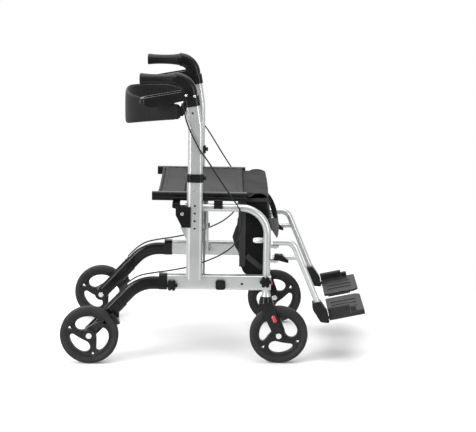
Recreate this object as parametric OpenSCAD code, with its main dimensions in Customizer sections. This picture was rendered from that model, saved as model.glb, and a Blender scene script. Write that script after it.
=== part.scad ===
// Rollator transport chair: a folding walker with a seat, legrests and brakes.
// X points forward, Y to the sitter's left and Z up, in millimetres.
// Sub-parts are drawn for the left side, with X measured from the post's axis.

/* [Side frames] */
// Distance between the middle planes of the two lower rails
rail_spread = 504; // [470:2:560]
// Height of the lower rail's section
rail_h = 52; // [44:1:58]
// Thickness of the lower rail's section
rail_t = 30; // [28:1:36]
// Wall of the lower rail
rail_wall = 1.8; // [1.5:0.1:3]
// Height of the lower rail's middle above the ground
rail_z = 283; // [276:1:295]
// Length of the lower rail behind the post's axis
rail_rear = 92; // [80:1:110]
// Width of the main post's oval section
post_w = 54; // [48:1:60]
// Thickness of the main post's oval section
post_t = 28; // [26:1:32]
// Wall of the main post
post_wall = 2; // [1.5:0.1:2.5]
// Height of the main post's top edge
post_top = 655; // [640:1:670]
// Outer diameter of the bent side tube
tube_d = 26; // [22:1:27]
// Wall of the bent side tube
tube_wall = 2; // [1.5:0.1:3]
// Height of the side tube's level run
tube_z = 542; // [530:1:548]
// Distance from the post's axis forward to the caster's axis
front_x = 246; // [230:1:270]
// Middle radius of the side tube's bend
bend_r = 90; // [70:1:110]

/* [Wheels] */
// Outer diameter of all four wheels
wheel_d = 200; // [190:1:204]
// Width of the tyres
tyre_w = 34; // [28:1:36]
// Outer diameter of the rims
rim_d = 156; // [144:1:164]
// Diameter of the wheel hubs
hub_d = 42; // [34:1:46]
// Diameter of the wheel axles
axle_d = 12; // [8:1:14]
// Distance of a rear wheel's middle plane outside the lower rail's middle plane
rear_offset = 33.5; // [32:0.5:43]
// Distance from the post's axis back to the rear axle
rear_x = 356; // [340:1:370]
// Distance from the caster's swivel axis to the front axle
caster_trail = 46; // [36:1:50]
// Thickness of each caster fork cheek
cheek_t = 5; // [4:0.5:7]
// Diameter of the caster's stem
stem_d = 16; // [12:1:18]

/* [Rear legs] */
// Height of the curved rear leg's section
leg_h = 45; // [38:1:48]
// Thickness of the curved rear leg's section
leg_t = 25; // [20:1:26]
// Middle radius of the rear leg's curve
leg_r = 117; // [100:1:140]

/* [Handles] */
// Height of the grips' axis above the top of the post
grip_rise = 324; // [316:1:345]
// Length of a grip
grip_len = 108; // [95:1:120]
// Diameter of a grip at its flared ends
grip_d = 40; // [34:1:42]
// Number of height steps that the handle goes down
height_steps = 5; // [3:1:5]
// Distance between two height holes
hole_pitch = 26; // [20:1:26]
// Backward lean of the handle tube's top
lean = 9; // [4:1:12]
// Middle radius of the handle elbow
elbow_r = 52; // [48:1:60]
// Distance that the back band reaches behind the post's axis
band_reach = 246; // [220:1:270]
// Height of the back band at its ends
band_h = 52; // [40:1:56]
// Height of the back band in its middle
band_mid_h = 117; // [90:1:130]
// Thickness of the back band
band_t = 8; // [5:1:12]

/* [Seat and brace] */
// Distance of a seat rail's middle plane inside the lower rail's middle plane
seat_inset = 16; // [8:1:30]
// Height of the seat rails' middle above the side tubes' middle
seat_rise = 35; // [30:1:48]
// Height of a seat rail's section
seat_rail_h = 29; // [24:1:30]
// Width of a seat rail's section
seat_rail_w = 24; // [20:1:26]
// Length of a seat rail
seat_rail_len = 321; // [290:1:330]
// Width of the cross brace bars
brace_w = 28; // [24:1:30]
// Thickness of the cross brace bars
brace_t = 8; // [6:1:8]
// Diameter of the cross brace's pivots
pivot_d = 10; // [8:1:12]

/* [Legrests] */
// Diameter of the legrest's hanger tube
hanger_d = 22; // [18:1:24]
// Height of the hanger tube's level run
hanger_z = 425; // [415:1:440]
// Height of the legrest's lower bar
stay_z = 371; // [365:1:380]
// Distance from the hanger's pivot forward to the foot of its sloped tube
foot_x = 152; // [145:1:170]
// Height of the foot of the sloped tube
foot_z = 206; // [200:1:220]
// Upward tilt of the footplates' toes
toe_tilt = 12; // [6:1:15]
// Length of a footplate from heel to toe
plate_len = 124; // [110:1:140]
// Width of a footplate
plate_w = 205; // [180:1:207]
// Thickness of a footplate
plate_t = 8; // [6:1:10]

/* [Hidden] */
$fn = 48;
run_gap = 0.05;
// A straight tube that is set into the end of a bend is thinner by this much
set_in = 0.2;
free_gap = 0.3;
wheel_r = wheel_d / 2;
rail_y = rail_spread / 2;
rail_in = rail_y - rail_t / 2;
rail_out = rail_y + rail_t / 2;
rail_top = rail_z + rail_h / 2;
rail_round = 8;
post_y = rail_out + post_t / 2;
post_out = post_y + post_t / 2;
post_foot = rail_top - 13;
nose_len = 16;
rail_solid = 48;
collar_h = 28;
collar_lip = 8;
collar_wall = 2.5;
handle_w = post_w - 2 * post_wall - 2 * free_gap;
handle_t = post_t - 2 * post_wall - 2 * free_gap;
handle_travel = height_steps * hole_pitch;
handle_foot = post_foot + handle_travel + 14;
button_z = post_top - 48;
button_d = 7;
button_len = 8;
grip_z = post_top + grip_rise;
lean_z = post_top + collar_lip + handle_travel + 3;
lean_r = 250;
lean_end = [-lean_r * (1 - cos(lean)), lean_z + lean_r * sin(lean)];
elbow_run = (grip_z - elbow_r * (1 - sin(lean)) - lean_end[1]) / cos(lean);
elbow_foot = elbow_run - 45;
elbow_centre_x = lean_end[0] - elbow_run * sin(lean) - elbow_r * cos(lean);
elbow_sleeve = [56, 34];
elbow_bend = [48, 33];
sleeve_len = 34;
flange_d = grip_d + 2;
flange_len = 8;
spigot_d = 22;
lever_pivot = [elbow_centre_x + 38, grip_z - elbow_r + 3];
lever_pin_d = 8;
lever_in = elbow_sleeve[1] / 2 + 1.5;
lever_out = lever_in + 8;
tongue_x = elbow_centre_x + 20.3;
tongue_z = grip_z - 112;
band_rise = 18;
band_half = post_y - 21;
seat_z = tube_z + seat_rise;
seat_y = rail_y - seat_inset;
seat_in = seat_y - seat_rail_w / 2;
seat_bottom = seat_z - seat_rail_h / 2;
seat_top = seat_z + seat_rail_h / 2;
seat_rear = -146;
seat_front = seat_rear + seat_rail_len;
clevis_base = 6;
ear_t = 5;
pivot_y = rail_in - clevis_base - brace_w / 2 - 2;
brace_x = 27 + brace_t / 2;
brace_step = brace_t + 1;
brace_angle = atan2(seat_z - rail_z, seat_y + pivot_y);
brace_half = pivot_y / cos(brace_angle);
leg_z = rail_z - 6;
leg_start = -rail_rear - 47;
leg_centre = [leg_start, leg_z - leg_r];
axle_gap = leg_centre - [-rear_x, wheel_r];
leg_turn = asin(leg_r / norm(axle_gap)) + atan2(axle_gap[1], axle_gap[0]);
leg_straight = sqrt(norm(axle_gap) ^ 2 - leg_r ^ 2);
leg_wall = 3;
leg_out = rail_y + leg_t / 2;
sleeve_t = leg_t + 4;
brake_sleeve_len = 62;
brake_sleeve_at = leg_straight / 2;
brake_pivot = leg_along(brake_sleeve_at - 38);
sleeve_foot = leg_along(brake_sleeve_at - brake_sleeve_len);
shoe_angle = 33;
shoe_gap = 3;
rear_y = rail_y + rear_offset;
hub_in = rear_y - tyre_w / 2;
hub_out = rear_y + tyre_w / 2;
stem_top = rail_z + 30;
fork_top = 235;
cup_h = 13;
dome_d = 48;
cheek_in = tyre_w / 2 + 2;
cheek_out = cheek_in + cheek_t;
hanger_x = front_x + tube_d / 2 + 16;
hang_pin_d = 10;
lug_t = 7;
lug_w = 22;
hanger_lean = 23;
hanger_bend = 35;
stay_d = 16;
latch_pin_d = 5;
latch_at = 24;
barrel_d = 22;
barrel_pin_d = 10;
barrel_y = rail_y - 17;
barrel_x = hanger_x + foot_x + 38;
barrel_z = 157;
plate_front = barrel_x + (plate_len + 1) * cos(toe_tilt) + barrel_d / 2 * sin(toe_tilt);
origin_x = (plate_front - rear_x - wheel_r) / 2;
bag_rear = 146;
bag_front = 261;
bag_half = seat_in - 2;
bag_foot = 296;
bag_rim = seat_z - 5;
bag_wall = 3;
lid_t = 8;
lid_half = bag_half + 10;
lid_front = bag_front - 18;
lid_rear = seat_front + 3;
strap_w = 70;
strap_end_w = 36;
strap_t = 3;
strap_end_z = 470;
strap_drop = 78;
strap_bow = 32;
cable_d = 5;
cable_foot = leg_along(brake_sleeve_at - brake_sleeve_len - free_gap, leg_h / 2 + cable_d / 2 + 1);
cable_sides = 8;
cable_steps = 3;
// Points of the cable, with y measured outward from the lower rail's middle plane
cable_points = [
    [-44, 51, 902], [-38, 50, 880], [-31, 50, 846], [-18, 50, 812], [-2, 50, 779], [16, 48, 745], [40, 44, 712],
    [70, 36, 665], [101, 29, 617], [130, 24, 574], [152, 21, 537], [158, 18, 483], [140, 14, 425],
    [94, 8, 383], [29, 5, 352], [-25, 5, 334], [-90, 2, 320], [-140, 1, 312], [-184, 0, 302],
    [-216, 0, 284], [-242, 0, 260]
];
// The part above the side tube stretches with the height of the lever
cable_stretch = (lever_pivot[1] - 28 - tube_z) / (cable_points[0][2] - tube_z);
cable_route = [
    for (p = cable_points)
        [p[0], rail_y + p[1], p[2] < tube_z ? p[2] : tube_z + (p[2] - tube_z) * cable_stretch],
    [cable_foot[0], rail_y, cable_foot[1]]
];

// Shared shapes

function xy(p) = [p[0], p[1]];
function unit(v) = v / norm(v);

// An outline whose corners are rounded: each point is [x, y, radius]
function rounded(p, n = 6) = [
    for (i = [0 : len(p) - 1])
        let (
            b = xy(p[i]),
            u = unit(xy(p[(i + len(p) - 1) % len(p)]) - b),
            v = unit(xy(p[(i + 1) % len(p)]) - b),
            r = p[i][2],
            half = acos(u * v) / 2,
            c = b + unit(u + v) * r / sin(half),
            s = b + u * r / tan(half) - c,
            e = b + v * r / tan(half) - c,
            a0 = atan2(s[1], s[0]),
            turn = (atan2(e[1], e[0]) - a0 + 540) % 360 - 180
        )
        each (r == 0 ? [b] : [for (k = [0 : n]) c + r * [cos(a0 + turn * k / n), sin(a0 + turn * k / n)]])
];

function rounded_box(w, h, r) = rounded([[-w / 2, -h / 2, r], [w / 2, -h / 2, r], [w / 2, h / 2, r], [-w / 2, h / 2, r]]);

// A smooth curve through the points p, with n steps between two of them
function smooth(p, n) = [
    for (i = [0 : len(p) - 2], k = [0 : n - 1])
        let (
            a = p[max(i - 1, 0)],
            b = p[i],
            c = p[i + 1],
            d = p[min(i + 2, len(p) - 1)],
            t = k / n
        )
        (2 * b + (c - a) * t + (2 * a - 5 * b + 4 * c - d) * t ^ 2 + (3 * b - a - 3 * c + d) * t ^ 3) / 2,
    p[len(p) - 1]
];

// A point on the straight end of the rear leg, as far from its start and as far above it as given
function leg_along(s, up = 0) =
    leg_centre + (leg_r + up) * [-sin(leg_turn), cos(leg_turn)] - s * [cos(leg_turn), sin(leg_turn)];

module racetrack(w, t) {
    square([w - t, t], center = true);
    for (s = [-1, 1])
        translate([s * (w - t) / 2, 0])
            circle(d = t);
}

// Draws an X-Z outline as a slab between two values of Y
module slab_y(y0, y1) {
    translate([0, y1, 0])
        rotate([90, 0, 0])
            linear_extrude(y1 - y0)
                children();
}

// Draws a Y-Z outline as a slab between two values of X
module slab_x(x0, x1) {
    translate([x0, 0, 0])
        rotate([90, 0, 90])
            linear_extrude(x1 - x0)
                children();
}

module pin_y(d, x, z, y0, y1) {
    translate([x, y0, z])
        rotate([-90, 0, 0])
            cylinder(d = d, h = y1 - y0);
}

module pin_x(d, y, z, x0, x1) {
    translate([x0, y, z])
        rotate([0, 90, 0])
            cylinder(d = d, h = x1 - x0);
}

// A tube of triangles swept round the points p
module sweep(p, d, sides) {
    ring = [
        for (i = [0 : len(p) - 1])
            let (
                along = unit(p[min(i + 1, len(p) - 1)] - p[max(i - 1, 0)]),
                out = unit(cross(along, [0.2, 1, 0.1])),
                up = cross(along, out)
            )
            each [for (k = [0 : sides - 1]) p[i] + d / 2 * (out * cos(360 * k / sides) + up * sin(360 * k / sides))]
    ];
    last = (len(p) - 1) * sides;
    polyhedron(ring, [
        for (k = [1 : sides - 2]) [0, k, k + 1],
        for (k = [1 : sides - 2]) [last, last + k + 1, last + k],
        for (i = [0 : len(p) - 2], k = [0 : sides - 1])
            let (a = i * sides + k, b = i * sides + (k + 1) % sides)
            each [[a, a + sides, b], [b, a + sides, b + sides]]
    ]);
}

// Side frame

module rail_profile(shrink) {
    translate([rail_y, rail_z])
        polygon(rounded_box(rail_t - 2 * shrink, rail_h - 2 * shrink, rail_round - shrink));
}

// The clevis that carries the foot of a cross brace bar
module clevis(x) {
    difference() {
        union() {
            translate([x - brace_t / 2 - ear_t - 3, rail_in - clevis_base, rail_z - 17])
                cube([brace_t + 2 * ear_t + 6, clevis_base, 34]);
            for (s = [-1, 1])
                slab_x(x + s * (brace_t / 2 + 0.5 + ear_t / 2) - ear_t / 2, x + s * (brace_t / 2 + 0.5 + ear_t / 2) + ear_t / 2) {
                    translate([pivot_y, rail_z])
                        circle(d = brace_w - 2);
                    translate([pivot_y, rail_z - brace_w / 2 + 1])
                        square([rail_in - clevis_base / 2 - pivot_y, brace_w - 2]);
                }
        }
        pin_x(pivot_d + 2 * run_gap, pivot_y, rail_z, x - 30, x + 30);
    }
}

module lower_rail(brace_at) {
    rail_end = front_x + nose_len;
    color("silver") {
        difference() {
            slab_x(-rail_rear, rail_end)
                rail_profile(0);
            slab_x(-rail_rear - 1, rail_end - rail_solid)
                rail_profile(rail_wall);
            translate([front_x, rail_y, 0])
                cylinder(d = tube_d + 2 * run_gap, h = rail_top + 1);
            pin_y(9, 163, rail_z - 3, rail_y, rail_out + 1);
        }
        clevis(brace_at);
    }
}

module main_post() {
    floor_t = 3;
    foot_round = 16;
    strut_top = tube_z - 62;
    color("silver") {
        difference() {
            intersection() {
                translate([0, post_y, post_foot])
                    linear_extrude(post_top - post_foot)
                        racetrack(post_w, post_t);
                slab_y(post_y - post_t, post_y + post_t)
                    polygon(rounded([
                        [-post_w / 2, post_foot, foot_round], [post_w / 2, post_foot, foot_round],
                        [post_w / 2, post_top, 0], [-post_w / 2, post_top, 0]
                    ]));
            }
            translate([0, post_y, post_foot + floor_t + foot_round / 2])
                linear_extrude(post_top)
                    racetrack(post_w - 2 * post_wall, post_t - 2 * post_wall);
            for (i = [for (k = [0 : height_steps]) if (k != 1) k])
                pin_y(button_d + 1, 0, button_z - i * hole_pitch, post_y, post_out + 1);
        }
        // Strut below the seat guide, welded to the post's inner face
        slab_y(rail_out - 6, rail_out + 1)
            polygon(rounded([
                [-49, strut_top - 2, 2], [-34, strut_top, 2], [-14, strut_top - 40, 3], [4, strut_top - 40, 3],
                [4, strut_top - 56, 3], [-24, strut_top - 56, 3]
            ]));
    }
}

module tube_path(d) {
    run_start = -34;
    run_end = front_x - bend_r;
    pin_x(d, rail_y, tube_z, run_start, run_end);
    translate([run_end, rail_y, tube_z - bend_r])
        rotate([90, 0, 0])
            rotate_extrude(angle = 90)
                translate([bend_r, 0])
                    circle(d = d);
}

// A lug on the front tube with a hole for a legrest pin
module legrest_lug(top) {
    translate([0, rail_y, top - lug_t])
        difference() {
            linear_extrude(lug_t) {
                translate([hanger_x, 0])
                    circle(d = lug_w);
                translate([front_x, -lug_w / 2])
                    square([hanger_x - front_x, lug_w]);
            }
            translate([hanger_x, 0, -1])
                cylinder(d = hang_pin_d + 2 * run_gap, h = lug_t + 2);
            translate([front_x, 0, -1])
                cylinder(d = tube_d - tube_wall, h = lug_t + 2);
        }
}

module front_tube() {
    leg_top = tube_z - bend_r;
    cup_z = fork_top + free_gap;
    color("silver") {
        difference() {
            union() {
                tube_path(tube_d);
                translate([front_x, rail_y, cup_z + cup_h])
                    cylinder(d = tube_d, h = leg_top - cup_z - cup_h);
                translate([front_x, rail_y, cup_z])
                    cylinder(d1 = tube_d + 8, d2 = tube_d + 4, h = cup_h);
                // Weld pad against the post's inner face
                translate([-18, rail_y, tube_z - 7])
                    cube([36, rail_t / 2, 14]);
            }
            tube_path(tube_d - 2 * tube_wall);
            translate([front_x, rail_y, rail_top + 40])
                cylinder(d = tube_d - 2 * tube_wall, h = leg_top - rail_top - 40);
            translate([front_x, rail_y, cup_z - 1])
                cylinder(d = stem_d + 2 * run_gap, h = stem_top - cup_z + 3);
        }
        legrest_lug(hanger_z - hanger_d / 2 - free_gap);
        legrest_lug(stay_z - stay_d / 2 - free_gap);
    }
}

module post_collar() {
    color("#202022")
        translate([0, post_y, post_top + collar_lip - collar_h])
            difference() {
                linear_extrude(collar_h)
                    racetrack(post_w + 2 * collar_wall, post_t + 2 * collar_wall);
                translate([0, 0, -1])
                    linear_extrude(collar_h - collar_lip + 1)
                        racetrack(post_w + 2 * run_gap, post_t + 2 * run_gap);
                linear_extrude(collar_h + 1)
                    racetrack(handle_w + 2 * free_gap, handle_t + 2 * free_gap);
            }
}

module leg_sweep(h, t, cut) {
    slab_x(leg_start, -rail_rear + cut)
        translate([rail_y, leg_z])
            rotate(90)
                racetrack(h, t);
    translate([leg_centre[0], rail_y, leg_centre[1]])
        rotate([90, -90, 0])
            rotate_extrude(angle = leg_turn)
                translate([leg_r, 0])
                    racetrack(h, t);
    translate([leg_along(-4)[0], rail_y, leg_along(-4)[1]])
        rotate([0, -90 - leg_turn, 0])
            linear_extrude(leg_straight + 4 - cut)
                racetrack(h - set_in, t - set_in);
}

module rear_leg() {
    plug_len = 30;
    collar_len = 28;
    boss_d = 22;
    color("#1c1c1e")
        difference() {
            union() {
                leg_sweep(leg_h, leg_t, 0);
                pin_y(leg_h, -rear_x, wheel_r, rail_y - leg_t / 2, leg_out);
                pin_y(boss_d, -rear_x, wheel_r, rail_y, hub_in - free_gap);
                // Collar against the end of the rail, and the plug inside it
                slab_x(-rail_rear - collar_len, -rail_rear)
                    translate([rail_y, rail_z])
                        polygon(rounded_box(rail_t + 5, rail_h + 4, rail_round + 2));
                slab_x(-rail_rear - 1, -rail_rear + plug_len)
                    rail_profile(rail_wall + run_gap);
                // Sleeve that carries the brake
                translate([sleeve_foot[0], rail_y, sleeve_foot[1]])
                    rotate([0, -90 - leg_turn, 0])
                        linear_extrude(brake_sleeve_len)
                            racetrack(leg_h + 5, sleeve_t);
            }
            leg_sweep(leg_h - 2 * leg_wall, leg_t - 2 * leg_wall, leg_h);
            pin_y(axle_d + 2 * run_gap, -rear_x, wheel_r, 0, rear_y);
            pin_y(lever_pin_d + 2 * run_gap, brake_pivot[0], brake_pivot[1], 0, rear_y);
        }
}

module frame_bolts(brace_at) {
    nut_h = 6;
    head_h = 4;
    color("gainsboro") {
        // Rear axle with its head outside the hub and its nut inside the leg
        pin_y(axle_d, -rear_x, wheel_r, rail_y - leg_t / 2 - nut_h, hub_out + free_gap + head_h);
        pin_y(axle_d + 8, -rear_x, wheel_r, hub_out + free_gap, hub_out + free_gap + head_h);
        translate([-rear_x, rail_y - leg_t / 2, wheel_r])
            rotate([90, 0, 0])
                cylinder(d = axle_d + 8, h = nut_h, $fn = 6);
        // Pivot pin of the cross brace's foot
        pin_x(pivot_d, pivot_y, rail_z, brace_at - brace_t / 2 - ear_t - 3, brace_at + brace_t / 2 + ear_t + 3);
        // Bolt of the seat guide
        pin_y(11, -42, tube_z - 14, post_out + 4, post_out + 7);
    }
}

module star_knob(d, lobes) {
    circle(d = d * 0.72);
    for (i = [0 : lobes - 1])
        rotate(360 * i / lobes)
            translate([d * 0.34, 0])
                circle(d = d * 0.32);
}

module star_knobs() {
    knob_d = 40;
    knob_h = 13;
    square_w = 34;
    stud = 3;
    color("#1c1c1e") {
        for (p = [[16 - rail_rear, rail_z - 9], [front_x - 3, rail_z + 7]])
            translate([p[0], 0, p[1]]) {
                pin_y(20, 0, 0, rail_out, rail_out + stud);
                slab_y(rail_out + stud, rail_out + knob_h)
                    star_knob(knob_d, 6);
            }
        translate([90, 0, rail_z - 6]) {
            slab_y(rail_out, rail_out + 9)
                polygon(rounded_box(square_w, square_w, 9));
            pin_y(square_w - 14, 0, 0, rail_out + 9, rail_out + knob_h);
        }
    }
}

module seat_brackets() {
    saddle_w = 30;
    saddle_x = 64;
    cradle_top = seat_bottom - free_gap;
    plate = 4;
    guide_top = tube_z + 10;
    color("#202022") {
        // Saddle that clips on the side tube and takes the seat rail's weight
        difference() {
            slab_x(saddle_x, saddle_x + saddle_w)
                polygon(rounded([
                    [seat_in + 4, cradle_top, 2], [seat_in + 4, tube_z - 2, 5], [rail_y + tube_d / 2 + 5, tube_z - 2, 5],
                    [rail_y + tube_d / 2 + 5, seat_bottom + 9, 3], [seat_y + seat_rail_w / 2 + 1.5, seat_bottom + 9, 1],
                    [seat_y + seat_rail_w / 2 + 1.5, cradle_top, 0]
                ]));
            pin_x(tube_d + 2 * run_gap, rail_y, tube_z, saddle_x - 1, saddle_x + saddle_w + 1);
        }
        // Guide bracket behind the post, with a cradle for the seat rail
        difference() {
            union() {
                slab_y(rail_out - 4, post_out + plate)
                    polygon(rounded([
                        [-64, guide_top, 5], [-64, guide_top - 28, 4], [-42, guide_top - 71, 4], [-13, guide_top - 71, 3], [-13, guide_top, 3]
                    ]));
                slab_y(seat_y - 8, post_out - 8)
                    polygon(rounded([[-76, cradle_top, 3], [-76, guide_top - 6, 4], [-50, guide_top - 12, 4], [-50, cradle_top, 3]]));
            }
            translate([0, post_y, 400])
                linear_extrude(300)
                    racetrack(post_w + 2 * run_gap, post_t + 2 * run_gap);
            translate([-post_w / 2 + 4, 0, 400])
                cube([100, post_y, 300]);
            pin_x(tube_d + 1, rail_y, tube_z, -60, 40);
        }
    }
}

// Wheels, drawn about the Y axis through the origin

module tyre() {
    depth = wheel_r - rim_d / 2;
    shoulder = rim_d / 2 + 0.4 * depth;
    tread_r = 0.4 * depth;
    bead = 0.18 * depth;
    color("#161617")
        rotate([90, 0, 0])
            rotate_extrude($fn = 96)
                polygon(rounded([
                    [rim_d / 2 + run_gap, -tyre_w / 2 + bead, bead / 2], [shoulder, -tyre_w / 2, bead],
                    [wheel_r, -tyre_w / 2, tread_r], [wheel_r, tyre_w / 2, tread_r],
                    [shoulder, tyre_w / 2, bead], [rim_d / 2 + run_gap, tyre_w / 2 - bead, bead / 2]
                ]));
}

// One of the three openings between the swept spokes
module spoke_opening(inner, outer) {
    sweep_from = 50;
    sweep_to = 122;
    bulge = (sweep_to - sweep_from) / 4;
    corner = outer * 0.2;
    function polar(r, a) = r * [cos(a), sin(a)];
    polygon(rounded([
        concat(polar(inner, 27), 6),
        concat(polar(outer, sweep_from) + corner * [sin(sweep_from), -cos(sweep_from)], 8),
        concat(polar(outer / cos(bulge), sweep_from + bulge), outer),
        concat(polar(outer / cos(bulge), sweep_to - bulge), outer),
        concat(polar(outer, sweep_to) - corner * [sin(sweep_to), -cos(sweep_to)], 7),
        concat(polar(inner, 93), 6)
    ]));
}

module rim() {
    flange = rim_d / 2;
    opening_r = flange - 9;
    web_t = 16;
    groove = 5;
    color("#1e1e20")
        difference() {
            rotate([90, 0, 0])
                rotate_extrude($fn = 96)
                    polygon([
                        [0, -tyre_w / 2 + free_gap], [hub_d / 2, -tyre_w / 2 + free_gap], [hub_d / 2 + 3, -web_t / 2],
                        [opening_r - 4, -web_t / 2], [opening_r, -tyre_w / 2 + groove], [flange, -tyre_w / 2 + groove],
                        [flange, tyre_w / 2 - groove], [opening_r, tyre_w / 2 - groove], [opening_r - 4, web_t / 2],
                        [hub_d / 2 + 3, web_t / 2], [hub_d / 2, tyre_w / 2 - free_gap], [0, tyre_w / 2 - free_gap]
                    ]);
            slab_y(-tyre_w, tyre_w)
                for (i = [0 : 2])
                    rotate(120 * i) {
                        spoke_opening(hub_d / 2 + 6, opening_r - 2);
                        rotate(26)
                            translate([opening_r - 9, 0])
                                rotate(-60)
                                    polygon(rounded([[5, 0, 1.5], [-4, 5, 1.5], [-4, -5, 1.5]], 3));
                    }
            pin_y(axle_d + 2 * run_gap, 0, 0, -tyre_w, tyre_w);
        }
}

module rear_wheel_at() {
    translate([-rear_x, rear_y, wheel_r])
        children();
}

module front_wheel_at() {
    translate([front_x + caster_trail, rail_y, wheel_r])
        children();
}

// Casters

module caster_fork() {
    crown = wheel_r * 2 + 5;
    dome_r = dome_d / 2;
    boss_r = 16;
    reach = norm([caster_trail, crown + 8 - wheel_r]);
    slope = atan2(crown + 8 - wheel_r, -caster_trail);
    side = acos((dome_r - boss_r) / reach);
    color("#1c1c1e")
        difference() {
            union() {
                translate([front_x, rail_y, crown])
                    rotate_extrude()
                        polygon(rounded([
                            [0, 0, 0], [cheek_out, 0, 0], [cheek_out, 8, 3], [dome_r - 4, fork_top - crown, 8], [0, fork_top - crown, 0]
                        ]));
                for (s = [-1, 1])
                    slab_y(rail_y + s * (cheek_in + cheek_t / 2) - cheek_t / 2, rail_y + s * (cheek_in + cheek_t / 2) + cheek_t / 2)
                        translate([front_x, 0]) {
                            translate([caster_trail, wheel_r]) {
                                circle(r = boss_r);
                                polygon([
                                    boss_r * [cos(slope + side), sin(slope + side)],
                                    boss_r * [cos(slope - side), sin(slope - side)],
                                    [-caster_trail, crown + 8 - wheel_r] + dome_r * [cos(slope - side), sin(slope - side)],
                                    [-caster_trail, crown + 8 - wheel_r] + dome_r * [cos(slope + side), sin(slope + side)]
                                ]);
                            }
                            intersection() {
                                translate([0, crown + 8])
                                    circle(r = dome_r);
                                translate([-dome_r, crown - 40])
                                    square([2 * dome_r, 48]);
                            }
                        }
            }
            pin_y(axle_d + 2 * run_gap, front_x + caster_trail, wheel_r, 0, rail_y * 2);
            translate([front_x, rail_y, crown - 1])
                cylinder(d = stem_d + 2 * run_gap, h = fork_top);
            translate([front_x - 60, rail_y - cheek_in, wheel_r])
                cube([200, 2 * cheek_in, crown - wheel_r]);
            translate([front_x - 60, 0, fork_top])
                cube([200, rail_y * 2, 60]);
        }
}

module caster_pins() {
    head = 3;
    color("gainsboro") {
        translate([front_x, rail_y, wheel_r * 2 + 5])
            cylinder(d = stem_d, h = stem_top - wheel_r * 2 - 5);
        translate([front_x + caster_trail, rail_y, wheel_r])
            rotate([90, 0, 0])
                cylinder(d = axle_d, h = 2 * cheek_out + 2 * head, center = true);
        for (s = [-1, 1])
            pin_y(axle_d + 7, front_x + caster_trail, wheel_r, rail_y + s * (cheek_out + head / 2) - head / 2, rail_y + s * (cheek_out + head / 2) + head / 2);
    }
}

// Handles

module lean_at(s) {
    translate([lean_end[0], post_y, lean_end[1]])
        rotate([0, -lean, 0])
            translate([0, 0, s])
                children();
}

module handle_path(w, t, foot, top) {
    translate([0, post_y, foot])
        linear_extrude(lean_z - foot)
            racetrack(w, t);
    translate([-lean_r, post_y, lean_z])
        rotate([90, 0, 0])
            rotate_extrude(angle = lean)
                translate([lean_r, 0])
                    racetrack(w, t);
    lean_at(-4)
        linear_extrude(top + 4)
            racetrack(w - set_in, t - set_in);
}

module handle_tube() {
    wall = 2;
    color("silver")
        difference() {
            handle_path(handle_w, handle_t, handle_foot, elbow_run - 6);
            handle_path(handle_w - 2 * wall, handle_t - 2 * wall, handle_foot - 1, elbow_run - 5);
            pin_y(button_d + 2 * run_gap, 0, button_z, post_y, post_out);
        }
}

module elbow_arc(w, t) {
    translate([-elbow_r, 0, 0])
        rotate([90, 0, 0])
            rotate_extrude(angle = 90 - lean)
                translate([elbow_r, 0])
                    racetrack(w, t);
}

module handle_elbow() {
    color("#1c1c1e")
        difference() {
            union() {
                lean_at(elbow_foot)
                    linear_extrude(sleeve_len)
                        racetrack(elbow_sleeve[0], elbow_sleeve[1]);
                lean_at(elbow_foot + 1)
                    linear_extrude(elbow_run - elbow_foot - 1)
                        racetrack(elbow_bend[0], elbow_bend[1]);
                lean_at(elbow_run)
                    elbow_arc(elbow_bend[0], elbow_bend[1]);
                pin_x(flange_d, post_y, grip_z, elbow_centre_x - flange_len, elbow_centre_x + 6);
                pin_x(spigot_d, post_y, grip_z, elbow_centre_x - flange_len - grip_len + 6, elbow_centre_x);
                pin_y(lever_pin_d, lever_pivot[0], lever_pivot[1], post_y - lever_out - 2, post_y + lever_out + 2);
                // Tongue behind the tube, with the back band's hinge pin
                slab_y(post_y - 9, post_y + 9)
                    polygon(rounded([
                        [tongue_x + 20, tongue_z + 38, 0], [tongue_x + 6, tongue_z + 33, 4], [tongue_x - 8, tongue_z + 9, 4],
                        [tongue_x - 8, tongue_z - 9, 7], [tongue_x + 8, tongue_z - 9, 3], [tongue_x + 20, tongue_z + 13, 0]
                    ]));
                pin_y(8, tongue_x, tongue_z, band_half - band_t, post_y);
            }
            lean_at(elbow_foot - 40)
                linear_extrude(elbow_run - 6 - elbow_foot + 40)
                    racetrack(handle_w + 2 * run_gap, handle_t + 2 * run_gap);
        }
}

module grip() {
    waist = grip_d * 0.84;
    steps = 12;
    end = elbow_centre_x - flange_len - free_gap;
    color("#1a1a1b")
        translate([end, post_y, grip_z])
            rotate([0, -90, 0])
                difference() {
                    rotate_extrude()
                        polygon([
                            [0, 0],
                            for (i = [0 : steps])
                                [waist / 2 + (grip_d - waist) / 2 * abs(2 * i / steps - 1) ^ 2.2, (grip_len - 3) * i / steps],
                            [grip_d / 2 - 3, grip_len],
                            [0, grip_len]
                        ]);
                    translate([0, 0, -1])
                        cylinder(d = spigot_d + 2 * run_gap, h = grip_len - 4);
                }
}

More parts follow.
